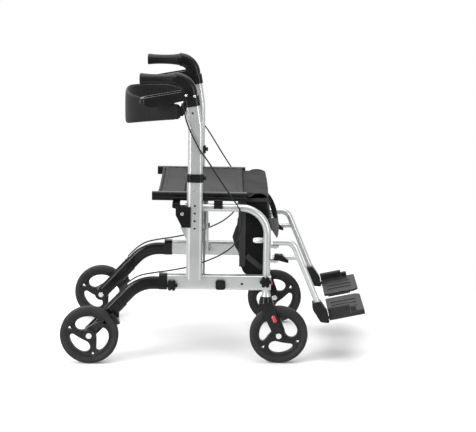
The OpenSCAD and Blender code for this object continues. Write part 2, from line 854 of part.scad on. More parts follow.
module brake_lever() {
    rear = elbow_centre_x - flange_len - grip_len;
    color("#1c1c1e")
        difference() {
            intersection() {
                slab_y(post_y - lever_out, post_y + lever_out)
                    polygon(rounded([
                        [rear, grip_z - 64, 6], [rear + 53, grip_z - 54, 60], [lever_pivot[0] - 14, lever_pivot[1] + 11, 8],
                        [lever_pivot[0] + 12, lever_pivot[1] + 11, 11], [lever_pivot[0] + 12, lever_pivot[1] - 12, 10],
                        [lever_pivot[0] - 20, lever_pivot[1] - 22, 30], [rear + 42, grip_z - 92, 40], [rear, grip_z - 80, 6]
                    ]));
                translate([0, post_y, 0])
                    linear_extrude(grip_z)
                        difference() {
                            polygon(rounded([
                                [rear, -lever_out, 20], [0, -lever_out, 0], [0, lever_out, 0], [rear, lever_out, 20]
                            ]));
                            polygon(rounded([
                                [rear + 13, -lever_in, 12], [1, -lever_in, 0], [1, lever_in, 0], [rear + 13, lever_in, 12]
                            ]));
                        }
            }
            pin_y(lever_pin_d + 2 * run_gap, lever_pivot[0], lever_pivot[1], 0, 2 * post_y);
        }
}

module height_button() {
    face = post_y + handle_t / 2;
    color("gainsboro")
        pin_y(button_d, 0, button_z, face - button_len, face);
}

module brake_shoe() {
    pad = 11;
    pad_w = tyre_w - 8;
    arm_t = 5;
    arm_y = rail_y + sleeve_t / 2 + free_gap;
    touch = wheel_r + shoe_gap;
    tip = [-rear_x, wheel_r] + (touch + pad - 3) * [cos(shoe_angle), sin(shoe_angle)];
    color("#242426") {
        difference() {
            union() {
                // Pad in front of the tread
                slab_y(rear_y - pad_w / 2, rear_y + pad_w / 2)
                    polygon([
                        for (a = [-11 : 4.4 : 11])
                            [-rear_x, wheel_r] + touch * [cos(shoe_angle + a), sin(shoe_angle + a)],
                        for (a = [11 : -4.4 : -11])
                            [-rear_x, wheel_r] + (touch + pad) * [cos(shoe_angle + a), sin(shoe_angle + a)]
                    ]);
                // Web from the pad in to the arm
                slab_y(arm_y, rear_y)
                    translate(tip)
                        rotate(shoe_angle)
                            square([7, 22], center = true);
                slab_y(arm_y, arm_y + arm_t) {
                    translate(brake_pivot)
                        circle(d = 20);
                    translate(tip)
                        circle(d = 16);
                    polygon([brake_pivot + [10, 0], brake_pivot - [10, 0], tip - [8, 0], tip + [8, 0]]);
                }
                pin_y(lever_pin_d, brake_pivot[0], brake_pivot[1], rail_y - sleeve_t / 2, arm_y + arm_t + 2);
            }
        }
    }
}

module brake_cable() {
    color("#101010")
        sweep(smooth(cable_route, cable_steps), cable_d, cable_sides);
}

// Legrests

module hanger_path(d, start) {
    lean_from = [hanger_x + foot_x, foot_z];
    corner = lean_from + (hanger_z - foot_z) * [-tan(hanger_lean), 1];
    turn = 90 - hanger_lean;
    tangent = hanger_bend * tan(turn / 2);
    pin_x(d, rail_y, hanger_z, start, corner[0] - tangent);
    translate([corner[0] - tangent, rail_y, hanger_z - hanger_bend])
        rotate([90, -90, 0])
            rotate_extrude(angle = -turn)
                translate([hanger_bend, 0])
                    circle(d = d);
    translate([lean_from[0], rail_y, lean_from[1]])
        rotate([0, -hanger_lean, 0])
            cylinder(d = d - 5 * set_in, h = norm(corner - lean_from) - tangent + 4);
}

module legrest_tube() {
    stay_end = hanger_x + foot_x - (stay_z - foot_z) * tan(hanger_lean);
    pin_len = lug_t + 4;
    color("silver")
        difference() {
            union() {
                hanger_path(hanger_d, hanger_x - 9);
                pin_x(stay_d, rail_y, stay_z, hanger_x - 9, stay_end);
                for (z = [hanger_z, stay_z])
                    translate([hanger_x, rail_y, z - (z == stay_z ? stay_d : hanger_d) / 2 - pin_len])
                        cylinder(d = hang_pin_d, h = pin_len + 4);
            }
            hanger_path(hanger_d - 4, hanger_x + 8);
            pin_y(latch_pin_d + 2 * run_gap, hanger_x + latch_at, stay_z, rail_y - stay_d, rail_y + stay_d);
        }
}

// A sprung lever on the lower bar: its rear nose sits just above the lug and its front end is pressed down
module legrest_latch() {
    side_in = stay_d / 2 + 0.4;
    side_out = lug_w / 2;
    top = stay_z + stay_d / 2 + 0.6;
    lug_top = stay_z - stay_d / 2 + free_gap;
    color("#202022") {
        for (s = [-1, 1])
            slab_y(rail_y + s * (side_in + side_out) / 2 - (side_out - side_in) / 2, rail_y + s * (side_in + side_out) / 2 + (side_out - side_in) / 2)
                polygon(rounded([
                    [hanger_x - 6, lug_top, 1], [hanger_x + 8, lug_top, 2], [hanger_x + 30, stay_z - 13, 3],
                    [hanger_x + 44, stay_z - 17, 3], [hanger_x + 46, stay_z - 11, 2], [hanger_x + 30, stay_z + 6, 4],
                    [hanger_x + 22, top + 3, 2], [hanger_x - 2, top + 3, 3]
                ], 3));
        translate([hanger_x + 2, rail_y - side_out, top])
            cube([18, 2 * side_out, 3]);
        translate([hanger_x + 34, rail_y - side_out, stay_z - 14])
            cube([8, 2 * side_out, 4]);
        pin_y(latch_pin_d, hanger_x + latch_at, stay_z, rail_y - side_out + 1, rail_y + side_out - 1);
    }
}

// Draws in the footplate's own frame: X along its hinge, Y inwards, Z up
module plate_at() {
    translate([barrel_x, barrel_y, barrel_z])
        rotate([0, -toe_tilt, 0])
            children();
}

module footplate_hinge() {
    pin_len = plate_len - 4;
    foot = [hanger_x + foot_x, foot_z];
    color("#202022") {
        difference() {
            union() {
                slab_y(barrel_y - barrel_d / 2, rail_y + hanger_d / 2 + 3)
                    polygon(rounded([
                        concat(foot + [-22, 8], 6), concat(foot + [5, 15], 6),
                        concat([barrel_x - 1, barrel_z] + [-sin(toe_tilt), cos(toe_tilt)] * 26, 4),
                        concat([barrel_x - 1, barrel_z] - [-sin(toe_tilt), cos(toe_tilt)] * 12, 5),
                        concat(foot + [8, -58], 10), concat(foot + [-20, -14], 10)
                    ]));
                plate_at()
                    pin_x(barrel_pin_d, 0, 0, -4, pin_len);
            }
            translate([foot[0], rail_y, foot[1]])
                rotate([0, -hanger_lean, 0])
                    translate([0, 0, -6])
                        cylinder(d = hanger_d + 2 * run_gap, h = 80);
        }
    }
}

module footplate() {
    heel = 1;
    toe = heel + plate_len;
    rib_h = 2.5;
    top = barrel_d / 2;
    house_h = top + 25;
    house_len = plate_len * 0.62;
    color("#3a3a3d")
        plate_at()
            difference() {
                union() {
                    pin_x(barrel_d, 0, 0, heel, toe);
                    translate([0, 0, top - plate_t])
                        linear_extrude(plate_t)
                            polygon(rounded([
                                [heel, 0, 0], [toe, 0, 0], [toe, -plate_w, 26], [heel, -plate_w, 12]
                            ]));
                    // Raised housing over the barrel, with a lower end cap in front of it
                    slab_x(heel, heel + house_len)
                        polygon(rounded([
                            [-top, 0, 0], [-top, house_h, 7], [top, house_h, 7], [top, 0, 0]
                        ]));
                    slab_x(heel + house_len - 1, heel + house_len + 20)
                        polygon(rounded([
                            [2 - top, 0, 0], [2 - top, house_h - 9, 6], [top - 2, house_h - 9, 6], [top - 2, 0, 0]
                        ]));
                    // Raised ribs under the sole, and the stiffening lip below the inner edge
                    for (y = [-60 : -42 : 20 - plate_w])
                        translate([heel + 14, y - 4, top - 1])
                            cube([plate_len - 34, 8, 1 + rib_h]);
                    translate([heel + 14, 7 - plate_w, top - plate_t - 6])
                        cube([plate_len - 44, 5, 8]);
                }
                pin_x(barrel_pin_d + 2 * run_gap, 0, 0, -10, toe - 5);
            }
}

// Seat, brace and soft goods

module seat_rail() {
    groove = 3;
    color("#1c1c1e")
        slab_x(seat_rear, seat_front)
            translate([seat_y, seat_z])
                polygon(rounded([
                    [-seat_rail_w / 2, -seat_rail_h / 2, 4], [seat_rail_w / 2, -seat_rail_h / 2, 6],
                    [seat_rail_w / 2, -3, 3], [seat_rail_w / 2 - groove, 0, 1], [seat_rail_w / 2, 3, 3],
                    [seat_rail_w / 2, seat_rail_h / 2, 6], [-seat_rail_w / 2, seat_rail_h / 2, 4]
                ], 4));
}

// A brace bar from its foot on the right rail up to the left seat rail
module brace_bar(x) {
    difference() {
        slab_x(x - brace_t / 2, x + brace_t / 2)
            difference() {
                intersection() {
                    translate([-pivot_y, rail_z])
                        rotate(brace_angle) {
                            circle(d = brace_w);
                            translate([0, -brace_w / 2])
                                square([2 * brace_half + 60, brace_w]);
                        }
                    translate([-rail_y, 0])
                        square([rail_y + seat_in, seat_top - 3]);
                }
            }
        pin_x(pivot_d + 2 * run_gap, -pivot_y, rail_z, 0, 100);
        pin_x(pivot_d + 2 * run_gap, 0, rail_z + pivot_y * tan(brace_angle), 0, 100);
    }
}

module brace_bar_a() {
    head = 5;
    bolt_z = rail_z + pivot_y * tan(brace_angle);
    from = brace_x - brace_t / 2;
    to = from + brace_t + brace_step;
    color("silver") {
        brace_bar(brace_x);
        pin_x(pivot_d, 0, bolt_z, from - 1, to + free_gap);
        pin_x(pivot_d + 9, 0, bolt_z, from - head, from);
        pin_x(pivot_d + 9, 0, bolt_z, to + free_gap, to + free_gap + head);
    }
}

module brace_bar_b() {
    color("silver")
        mirror([0, 1, 0])
            brace_bar(brace_x + brace_step);
}

module seat_sling() {
    cloth = 4;
    half = seat_in - free_gap;
    color("#3c3c3e")
        translate([0, 0, seat_top - 4.5])
            linear_extrude(cloth)
                polygon(rounded([
                    [seat_rear + 20, -half, 6], [seat_front - 10, -half, 6], [seat_front - 10, half, 6], [seat_rear + 20, half, 6]
                ]));
}

module bag_profile(wall, rim) {
    polygon(rounded([
        [bag_rear + wall, rim, 0], [bag_rear + 4 + wall, bag_foot + wall, 24], [bag_front - 10 - wall, bag_foot + wall, 34],
        [bag_front - wall, 400, 60], [bag_front - wall, rim, 0]
    ]));
}

module bag() {
    tab = [12, 34];
    color("#222224") {
        difference() {
            slab_y(-bag_half, bag_half)
                bag_profile(0, bag_rim);
            slab_y(bag_wall - bag_half, bag_half - bag_wall)
                bag_profile(bag_wall, bag_rim + 1);
        }
        // Sewn tabs that reach the front tubes
        for (s = [-1, 1], z = [360, 450])
            translate([front_x - tab[0] / 2, s > 0 ? bag_half : free_gap + tube_d / 2 - rail_y, z])
                cube([tab[0], rail_y - tube_d / 2 - free_gap - bag_half, tab[1]]);
    }
}

module bag_lid() {
    corner = 0.4 * (lid_front - lid_rear);
    color("#222224")
        translate([0, 0, bag_rim + free_gap])
            linear_extrude(lid_t)
                polygon(rounded([
                    [lid_rear, -lid_half, corner / 6], [lid_front, -lid_half, corner],
                    [lid_front, lid_half, corner], [lid_rear, lid_half, corner / 6]
                ]));
}

// A webbing strap that hangs in a bow between the front tubes
module calf_strap() {
    half = rail_y - 4;
    steps = 20;
    reach = bend_r + sqrt(tube_d ^ 2 / 4 - (rail_y - half) ^ 2);
    start = front_x - bend_r + sqrt(reach ^ 2 - (strap_end_z - tube_z + bend_r) ^ 2) + free_gap;
    function along(t) =
        let (sag = 1 - t ^ 2)
        [start + strap_bow * (1 - abs(t) ^ 2.6), half * t, strap_end_z - strap_drop * sag];
    function wide(t) = strap_end_w + (strap_w - strap_end_w) * (1 - t ^ 4);
    corners = [[0, 0], [strap_t, 0], [strap_t, 1], [0, 1]];
    points = [
        for (i = [0 : steps], c = corners)
            let (t = 2 * i / steps - 1)
            along(t) + [c[0], 0, c[1] * wide(t)]
    ];
    last = 4 * steps;
    color("#1a1a1b")
        polyhedron(points, [
            [0, 1, 2], [0, 2, 3], [last, last + 2, last + 1], [last, last + 3, last + 2],
            for (i = [0 : steps - 1], k = [0 : 3])
                let (a = 4 * i + k, b = 4 * i + (k + 1) % 4)
                each [[a, a + 4, b], [b, a + 4, b + 4]]
        ]);
}

// A padded band that bows back between the two handle tongues and is tallest in its middle
module back_band() {
    steps = 24;
    depth = band_reach + tongue_x - 6;
    end_top = tongue_z + band_h / 2;
    mid_top = end_top + band_rise;
    mid_foot = mid_top - band_mid_h;
    shoulder = band_half * 0.25;
    reach = band_half + 1;
    soft = 300;
    function bow(t, out) = [-band_reach + depth * abs(t) ^ 3.2 - out, (band_half + out) * t];
    color("#1e1e20")
        difference() {
            union() {
                intersection() {
                    translate([0, 0, mid_foot - 1])
                        linear_extrude(band_mid_h + 2)
                            polygon([
                                for (i = [0 : steps]) bow(2 * i / steps - 1, 0),
                                for (i = [steps : -1 : 0]) bow(2 * i / steps - 1, -band_t)
                            ]);
                    slab_x(-band_reach - 1, 0)
                        polygon(rounded([
                            [-reach, end_top, 6], [-reach, end_top - band_h, 6], [-shoulder, mid_foot, soft],
                            [shoulder, mid_foot, soft], [reach, end_top - band_h, 6], [reach, end_top, 6],
                            [shoulder, mid_top, soft], [-shoulder, mid_top, soft]
                        ]));
                }
                for (s = [-1, 1])
                    pin_y(20, tongue_x, tongue_z, s > 0 ? band_half - band_t : -band_half, s > 0 ? band_half : band_t - band_half);
            }
            pin_y(8 + 2 * run_gap, tongue_x, tongue_z, -post_y, post_y);
        }
}

// Placing

module left() {
    translate([-origin_x, 0, 0])
        children();
}

module right() {
    translate([-origin_x, 0, 0])
        mirror([0, 1, 0])
            children();
}

left() lower_rail(brace_x + brace_step);  // lower_rail_l
right() lower_rail(brace_x);  // lower_rail_r
left() main_post();  // main_post_l
right() main_post();  // main_post_r
left() front_tube();  // front_tube_l
right() front_tube();  // front_tube_r
left() post_collar();  // post_collar_l
right() post_collar();  // post_collar_r
left() rear_leg();  // rear_leg_l
right() rear_leg();  // rear_leg_r
left() frame_bolts(brace_x + brace_step);  // frame_bolts_l
right() frame_bolts(brace_x);  // frame_bolts_r
left() star_knobs();  // star_knobs_l
right() star_knobs();  // star_knobs_r
left() seat_brackets();  // seat_brackets_l
right() seat_brackets();  // seat_brackets_r
left() rear_wheel_at() tyre();  // rear_tyre_l
right() rear_wheel_at() tyre();  // rear_tyre_r
left() rear_wheel_at() rim();  // rear_rim_l
right() rear_wheel_at() rim();  // rear_rim_r
left() caster_fork();  // caster_fork_l
right() caster_fork();  // caster_fork_r
left() caster_pins();  // caster_pins_l
right() caster_pins();  // caster_pins_r
left() front_wheel_at() tyre();  // front_tyre_l
right() front_wheel_at() tyre();  // front_tyre_r
left() front_wheel_at() rim();  // front_rim_l
right() front_wheel_at() rim();  // front_rim_r
left() handle_tube();  // handle_tube_l
right() handle_tube();  // handle_tube_r
left() handle_elbow();  // handle_elbow_l
right() handle_elbow();  // handle_elbow_r
left() grip();  // grip_l
right() grip();  // grip_r
left() brake_lever();  // brake_lever_l
right() brake_lever();  // brake_lever_r
left() height_button();  // height_button_l
right() height_button();  // height_button_r
left() brake_shoe();  // brake_shoe_l
right() brake_shoe();  // brake_shoe_r
left() brake_cable();  // brake_cable_l
right() brake_cable();  // brake_cable_r
left() legrest_tube();  // legrest_tube_l
right() legrest_tube();  // legrest_tube_r
left() legrest_latch();  // legrest_latch_l
right() legrest_latch();  // legrest_latch_r
left() footplate();  // footplate_l
right() footplate();  // footplate_r
left() footplate_hinge();  // footplate_hinge_l
right() footplate_hinge();  // footplate_hinge_r
left() seat_rail();  // seat_rail_l
right() seat_rail();  // seat_rail_r
left() brace_bar_a();
left() brace_bar_b();
left() seat_sling();
left() bag();
left() bag_lid();
left() calf_strap();
left() back_band();
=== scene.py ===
# %% [markdown]
# # Rollator transport chair
# A folding walker that also carries a seated person: silver side frames, four black wheels, a cloth seat, a
# bag, a padded back band and a pair of legrests. Most rigid pieces come from the CAD frame and only get
# their finishes here. The cloth, the cables, the rims and the small trim are modelled in this file.

import math

import bmesh
import bpy
from mathutils import Matrix, Vector


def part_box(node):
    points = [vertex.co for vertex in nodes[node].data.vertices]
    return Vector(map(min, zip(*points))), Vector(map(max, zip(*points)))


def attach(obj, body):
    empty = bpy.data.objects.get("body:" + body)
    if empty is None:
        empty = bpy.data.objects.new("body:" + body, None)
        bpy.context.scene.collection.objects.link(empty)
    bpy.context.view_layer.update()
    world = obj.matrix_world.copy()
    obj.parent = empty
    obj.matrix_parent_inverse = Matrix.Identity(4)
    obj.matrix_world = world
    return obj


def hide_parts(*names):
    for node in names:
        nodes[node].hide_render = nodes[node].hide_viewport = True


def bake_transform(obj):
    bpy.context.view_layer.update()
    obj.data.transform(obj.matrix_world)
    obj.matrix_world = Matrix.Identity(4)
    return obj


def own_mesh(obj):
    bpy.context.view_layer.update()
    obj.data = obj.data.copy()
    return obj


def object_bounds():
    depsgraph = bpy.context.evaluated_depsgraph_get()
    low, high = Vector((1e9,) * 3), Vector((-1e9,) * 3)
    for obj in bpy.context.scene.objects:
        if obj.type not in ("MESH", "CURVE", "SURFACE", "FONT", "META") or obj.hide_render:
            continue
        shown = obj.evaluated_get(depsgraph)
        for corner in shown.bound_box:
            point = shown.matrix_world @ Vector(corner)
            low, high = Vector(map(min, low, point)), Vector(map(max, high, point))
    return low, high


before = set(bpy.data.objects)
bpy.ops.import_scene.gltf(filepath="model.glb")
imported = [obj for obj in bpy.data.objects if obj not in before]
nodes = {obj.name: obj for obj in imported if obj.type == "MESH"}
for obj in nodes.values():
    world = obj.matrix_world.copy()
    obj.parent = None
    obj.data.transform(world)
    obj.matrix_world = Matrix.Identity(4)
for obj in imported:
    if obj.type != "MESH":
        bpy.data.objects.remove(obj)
cad_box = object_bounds()
MM = 0.001
collar_low, collar_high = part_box("post_collar_l")
post_x = (collar_low.x + collar_high.x) / 2
SIDES = {"l": 1, "r": -1}
FRAME_OF = {"l": "left_frame", "r": "right_frame"}


def at(x, y, z):
    """A point given in millimetres, with x counted forward from the post's axis."""
    return Vector((post_x + x * MM, y * MM, z * MM))


print("CAD nodes", len(nodes), "post axis at", round(post_x, 4))

# %% [markdown]
# ## Camera and studio
# The picture was taken from the chair's right, a little above it, with a long lens, so the camera stands
# far away. Its turn is written as three directions, which were fitted to the wheels and posts.

# %% Camera
PHOTO_W = 476
FOCAL_PX = 1612.03
SENSOR = 36.0
right_dir = Vector((0.99984931, -0.0065845, 0.01606265))
up_dir = Vector((-0.01429728, 0.21247808, 0.97706123))
view_dir = Vector((0.00984642, 0.97714365, -0.21235192))
camera_data = bpy.data.cameras.new("camera")
camera_data.lens = SENSOR * FOCAL_PX / PHOTO_W
camera_data.sensor_width = SENSOR
camera = bpy.data.objects.new("camera", camera_data)
bpy.context.scene.collection.objects.link(camera)
turn = Matrix((right_dir, up_dir, -view_dir)).transposed().to_4x4()
camera.matrix_world = Matrix.Translation(at(92.25, -5584.85, 1672.79)) @ turn
bpy.context.scene.camera = camera
bpy.context.scene.view_settings.view_transform = "Standard"
print("camera focal length", round(camera_data.lens, 2))

# %% [markdown]
# ## Floor, world and lamps
# The chair stands on pale paper that runs into a white backdrop. A plain white world could do both, but the
# paper has to keep the chair's shadow, so it is a plane that fades out. The world is white for the camera
# and for reflections, and dim for everything else, so that the lamps do the lighting. Two tall lamps in
# front give the bright lines along the tubes.

# %% Floor
FLOOR_SIZE = 14
FLOOR_DROP = 0.0005


def link_object(name, data):
    obj = bpy.data.objects.new(name, data)
    bpy.context.scene.collection.objects.link(obj)
    return obj


bm = bmesh.new()
bmesh.ops.create_grid(bm, x_segments=1, y_segments=1, size=FLOOR_SIZE)
floor_mesh = bpy.data.meshes.new("floor")
bm.to_mesh(floor_mesh)
bm.free()
floor = link_object("floor", floor_mesh)
floor.location.z = cad_box[0][2] - FLOOR_DROP
print("floor at", floor.location.z)

# %% World
AMBIENT = 0.22
DIM_FROM = -0.95
DIM_TO = -0.45
DIM_LEAST = 0.5
world = bpy.data.worlds.new("studio")
bpy.context.scene.world = world
world.use_nodes = True
tree = world.node_tree
sky = tree.nodes["Background"]
sky.inputs["Color"].default_value = (1, 1, 1, 1)
sky.inputs["Strength"].default_value = AMBIENT
backdrop = tree.nodes.new("ShaderNodeBackground")
backdrop.inputs["Color"].default_value = (1, 1, 1, 1)
paths = tree.nodes.new("ShaderNodeLightPath")
# Behind the camera the studio is dim, so that surfaces which face the camera mirror less than their edges do.
direction = tree.nodes.new("ShaderNodeTexCoord")
parts = tree.nodes.new("ShaderNodeSeparateXYZ")
dim = tree.nodes.new("ShaderNodeMapRange")
dim.inputs["From Min"].default_value = DIM_FROM
dim.inputs["From Max"].default_value = DIM_TO
dim.inputs["To Min"].default_value = DIM_LEAST
bright = tree.nodes.new("ShaderNodeMix")
bright.inputs["B"].default_value = 1.0
tree.links.new(direction.outputs["Generated"], parts.inputs[0])
tree.links.new(parts.outputs["Y"], dim.inputs["Value"])
tree.links.new(paths.outputs["Is Camera Ray"], bright.inputs["Factor"])
tree.links.new(dim.outputs["Result"], bright.inputs["A"])
tree.links.new(bright.outputs["Result"], backdrop.inputs["Strength"])
seen = paths.outputs["Is Camera Ray"]
for ray in ("Is Glossy Ray", "Is Transmission Ray"):
    either = tree.nodes.new("ShaderNodeMath")
    either.operation = "MAXIMUM"
    tree.links.new(seen, either.inputs[0])
    tree.links.new(paths.outputs[ray], either.inputs[1])
    seen = either.outputs[0]
mix = tree.nodes.new("ShaderNodeMixShader")
tree.links.new(seen, mix.inputs[0])
tree.links.new(sky.outputs[0], mix.inputs[1])
tree.links.new(backdrop.outputs[0], mix.inputs[2])
tree.links.new(mix.outputs[0], tree.nodes["World Output"].inputs["Surface"])

# %% Floor paper
PAPER = 0.94
FADE_FROM = 0.7
FADE_TO = 1.5
floor_finish = bpy.data.materials.new("floor_paper")
floor_finish.use_nodes = True
tree = floor_finish.node_tree
paper = tree.nodes["Principled BSDF"]
paper.inputs["Base Color"].default_value = (PAPER, PAPER, PAPER, 1)
paper.inputs["Roughness"].default_value = 0.9
coords = tree.nodes.new("ShaderNodeTexCoord")
distance = tree.nodes.new("ShaderNodeVectorMath")
distance.operation = "LENGTH"
fade = tree.nodes.new("ShaderNodeMapRange")
fade.interpolation_type = "SMOOTHSTEP"
fade.inputs["From Min"].default_value = FADE_FROM
fade.inputs["From Max"].default_value = FADE_TO
clear = tree.nodes.new("ShaderNodeBsdfTransparent")
mix = tree.nodes.new("ShaderNodeMixShader")
tree.links.new(coords.outputs["Object"], distance.inputs[0])
tree.links.new(distance.outputs["Value"], fade.inputs["Value"])
tree.links.new(fade.outputs["Result"], mix.inputs[0])
tree.links.new(paper.outputs[0], mix.inputs[1])
tree.links.new(clear.outputs[0], mix.inputs[2])
tree.links.new(mix.outputs[0], tree.nodes["Material Output"].inputs["Surface"])
floor_mesh.materials.append(floor_finish)

# %% Lamps


def add_lamp(name, place, aim, size, power):
    lamp = bpy.data.lights.new(name, "AREA")
    lamp.shape = "RECTANGLE"
    lamp.size = size[0]
    lamp.size_y = size[1]
    lamp.energy = power
    obj = link_object(name, lamp)
    obj.location = place
    obj.rotation_euler = (Vector(aim) - Vector(place)).to_track_quat("-Z", "Y").to_euler()
    return obj


add_lamp("key_lamp", (-3.4, -2.6, 3.0), (0, 0, 0.5), (1.8, 1.8), 150)
add_lamp("strip_lamp_rear", (-2.6, -3.6, 1.1), (0, 0, 0.5), (1.0, 2.2), 90)
add_lamp("strip_lamp_front", (2.8, -3.5, 1.1), (0, 0, 0.5), (1.0, 2.2), 60)
add_lamp("top_lamp", (0.2, 0.2, 4.4), (0, 0, 0), (5.0, 5.0), 230)
add_lamp("rear_lamp", (-2.2, 3.0, 2.6), (0, 0, 0.6), (1.8, 1.8), 50)
print("lamps", len(bpy.data.lights))

# %% [markdown]
# ## Finishes
# Every finish is a small tree of nodes on Object coordinates, so that grain and weave keep their size on
# each piece. A helper makes the shader, others mix colours and add a bump from a texture, and each finish
# then says only what is its own: colour, gloss and grain.

# %% Shader and texture helpers


def new_finish(name, roughness, metallic=0.0):
    mat = bpy.data.materials.new(name)
    mat.use_nodes = True
    shader = mat.node_tree.nodes["Principled BSDF"]
    shader.inputs["Roughness"].default_value = roughness
    shader.inputs["Metallic"].default_value = metallic
    return mat, mat.node_tree, shader


def grey(value):
    return (value, value, value)


def object_coords(tree, turn=(0, 0, 0), scale=(1, 1, 1)):
    coords = tree.nodes.new("ShaderNodeTexCoord")
    mapping = tree.nodes.new("ShaderNodeMapping")
    mapping.inputs["Rotation"].default_value = turn
    mapping.inputs["Scale"].default_value = scale
    tree.links.new(coords.outputs["Object"], mapping.inputs["Vector"])
    return mapping.outputs["Vector"]


def noise(tree, coords, scale, detail=3.0):
    tex = tree.nodes.new("ShaderNodeTexNoise")
    tex.inputs["Scale"].default_value = scale
    tex.inputs["Detail"].default_value = detail
    tree.links.new(coords, tex.inputs["Vector"])
    return tex.outputs["Fac"]


# %% Mixing helpers


def math_node(tree, operation, a, b):
    node = tree.nodes.new("ShaderNodeMath")
    node.operation = operation
    for socket, value in zip(node.inputs, (a, b)):
        if isinstance(value, float):
            socket.default_value = value
        else:
            tree.links.new(value, socket)
    return node.outputs[0]


def two_tone(tree, fac, dark, light, low=0.3, high=0.7):
    ramp = tree.nodes.new("ShaderNodeValToRGB")
    ramp.color_ramp.elements[0].position = low
    ramp.color_ramp.elements[0].color = (*dark, 1)
    ramp.color_ramp.elements[1].position = high
    ramp.color_ramp.elements[1].color = (*light, 1)
    tree.links.new(fac, ramp.inputs["Fac"])
    return ramp.outputs["Color"]


def add_bump(tree, shader, height, strength, depth, under=None):
    bump = tree.nodes.new("ShaderNodeBump")
    bump.inputs["Strength"].default_value = strength
    bump.inputs["Distance"].default_value = depth
    tree.links.new(height, bump.inputs["Height"])
    if under:
        tree.links.new(under, bump.inputs["Normal"])
    tree.links.new(bump.outputs["Normal"], shader.inputs["Normal"])


def roughness_range(tree, shader, fac, low, high):
    spread = tree.nodes.new("ShaderNodeMapRange")
    spread.inputs["To Min"].default_value = low
    spread.inputs["To Max"].default_value = high
    tree.links.new(fac, spread.inputs["Value"])
    tree.links.new(spread.outputs["Result"], shader.inputs["Roughness"])


# %% Edge wear and painted edge highlights


def rounded_edges(tree, radius):
    """A normal that rounds the edges, and a value that is 1 on the edges and 0 on the flats."""
    bevel = tree.nodes.new("ShaderNodeBevel")
    bevel.samples = 4
    bevel.inputs["Radius"].default_value = radius
    surface = tree.nodes.new("ShaderNodeNewGeometry")
    turn = tree.nodes.new("ShaderNodeVectorMath")
    turn.operation = "DOT_PRODUCT"
    tree.links.new(bevel.outputs["Normal"], turn.inputs[0])
    tree.links.new(surface.outputs["Normal"], turn.inputs[1])
    edge = tree.nodes.new("ShaderNodeMapRange")
    edge.inputs["From Min"].default_value = 0.98
    edge.inputs["From Max"].default_value = 0.75
    tree.links.new(turn.outputs["Value"], edge.inputs["Value"])
    return bevel.outputs["Normal"], edge.outputs["Result"]


def wear_and_highlight(tree, colour, edge, patch, edge_wear_and_highlight, share):
    """The colour, lighter in patches along the edges, partly as wear and partly as a painted highlight."""
    wear_and_highlight_share = math_node(tree, "MULTIPLY", math_node(tree, "MULTIPLY", edge, patch), share)
    mix = tree.nodes.new("ShaderNodeMix")
    mix.data_type = "RGBA"
    mix.inputs["B"].default_value = (*edge_wear_and_highlight, 1)
    tree.links.new(wear_and_highlight_share, mix.inputs["Factor"])
    tree.links.new(colour, mix.inputs["A"])
    return mix.outputs["Result"]


# %% [markdown]
# The tubes are brushed aluminium, the brace is duller, and the bolts are bright steel. One helper makes all
# three: a cloudy two-tone colour, fine grain in the gloss and the bump, and edges painted brighter, partly as
# wear and partly as a painted highlight.

# %% Metal finishes
EDGE_R = 0.0012


def brushed_metal(name, dark, light, low, high, metallic, grain=900.0):
    mat, tree, shader = new_finish(name, low, metallic)
    coords = object_coords(tree)
    cloud = noise(tree, coords, 14.0)
    normal, edge = rounded_edges(tree, EDGE_R)
    colour = two_tone(tree, cloud, dark, light)
    # Brighter edge colour: partly wear, partly a painted highlight.
    bright = [min(c * 1.4, 0.9) for c in light]
    tree.links.new(wear_and_highlight(tree, colour, edge, cloud, bright, 0.9), shader.inputs["Base Color"])
    fine = noise(tree, coords, grain, 2.0)
    roughness_range(tree, shader, fine, low, high)
    add_bump(tree, shader, fine, 0.08, 0.0002, normal)
    return mat


silver_tube = brushed_metal("silver_tube", (0.45, 0.46, 0.46), (0.51, 0.52, 0.52), 0.26, 0.34, 0.7)
brace_metal = brushed_metal("brace_metal", (0.30, 0.31, 0.32), (0.37, 0.38, 0.39), 0.36, 0.5, 0.6)
bright_steel = brushed_metal("bright_steel", (0.56, 0.56, 0.57), (0.68, 0.68, 0.69), 0.18, 0.3, 0.95)
print("metals", [m.name for m in (silver_tube, brace_metal, bright_steel)])

# %% [markdown]
# The handle's tube is painted dark and not metallic below a height that lies inside the post, so that the
# holes in the post look dark. The sleeve could be a piece of its own, but it is only a skin, so the tube's
# finish is painted dark below a height instead.

# %% Handle tube, dark below a height
DARK_BELOW_Z = 0.640
dark_below_tube = brushed_metal("dark_below_tube", (0.45, 0.46, 0.46), (0.51, 0.52, 0.52), 0.26, 0.34, 0.7)
tree = dark_below_tube.node_tree
shader = tree.nodes["Principled BSDF"]
plain = shader.inputs["Base Color"].links[0].from_socket
split = tree.nodes.new("ShaderNodeSeparateXYZ")
tree.links.new(object_coords(tree), split.inputs[0])
below = math_node(tree, "LESS_THAN", split.outputs["Z"], DARK_BELOW_Z)
paint = tree.nodes.new("ShaderNodeMix")
paint.data_type = "RGBA"
paint.inputs["B"].default_value = (0.008, 0.008, 0.008, 1)
tree.links.new(below, paint.inputs["Factor"])
tree.links.new(plain, paint.inputs["A"])
tree.links.new(paint.outputs["Result"], shader.inputs["Base Color"])
bare = math_node(tree, "SUBTRACT", 1.0, below)
tree.links.new(math_node(tree, "MULTIPLY", bare, 0.7), shader.inputs["Metallic"])

# %% [markdown]
# The plastics, the painted legs, the tyres and the grips are all black, and differ only in gloss and skin.
# One helper makes them. Its rounded edges catch the light, and are painted grey in patches, partly as the
# wear of a used chair and partly as a painted highlight.

# %% Black finishes
# Edge colour of the black parts: a little grey, partly wear and partly a painted highlight.
EDGE_WEAR_AND_HIGHLIGHT = grey(0.07)
# The footplates' edges are painted pale grey as a painted highlight.
FOOTPLATE_PAINTED_HIGHLIGHT = grey(0.5)
FOOTPLATE_EDGE_R = 0.0022


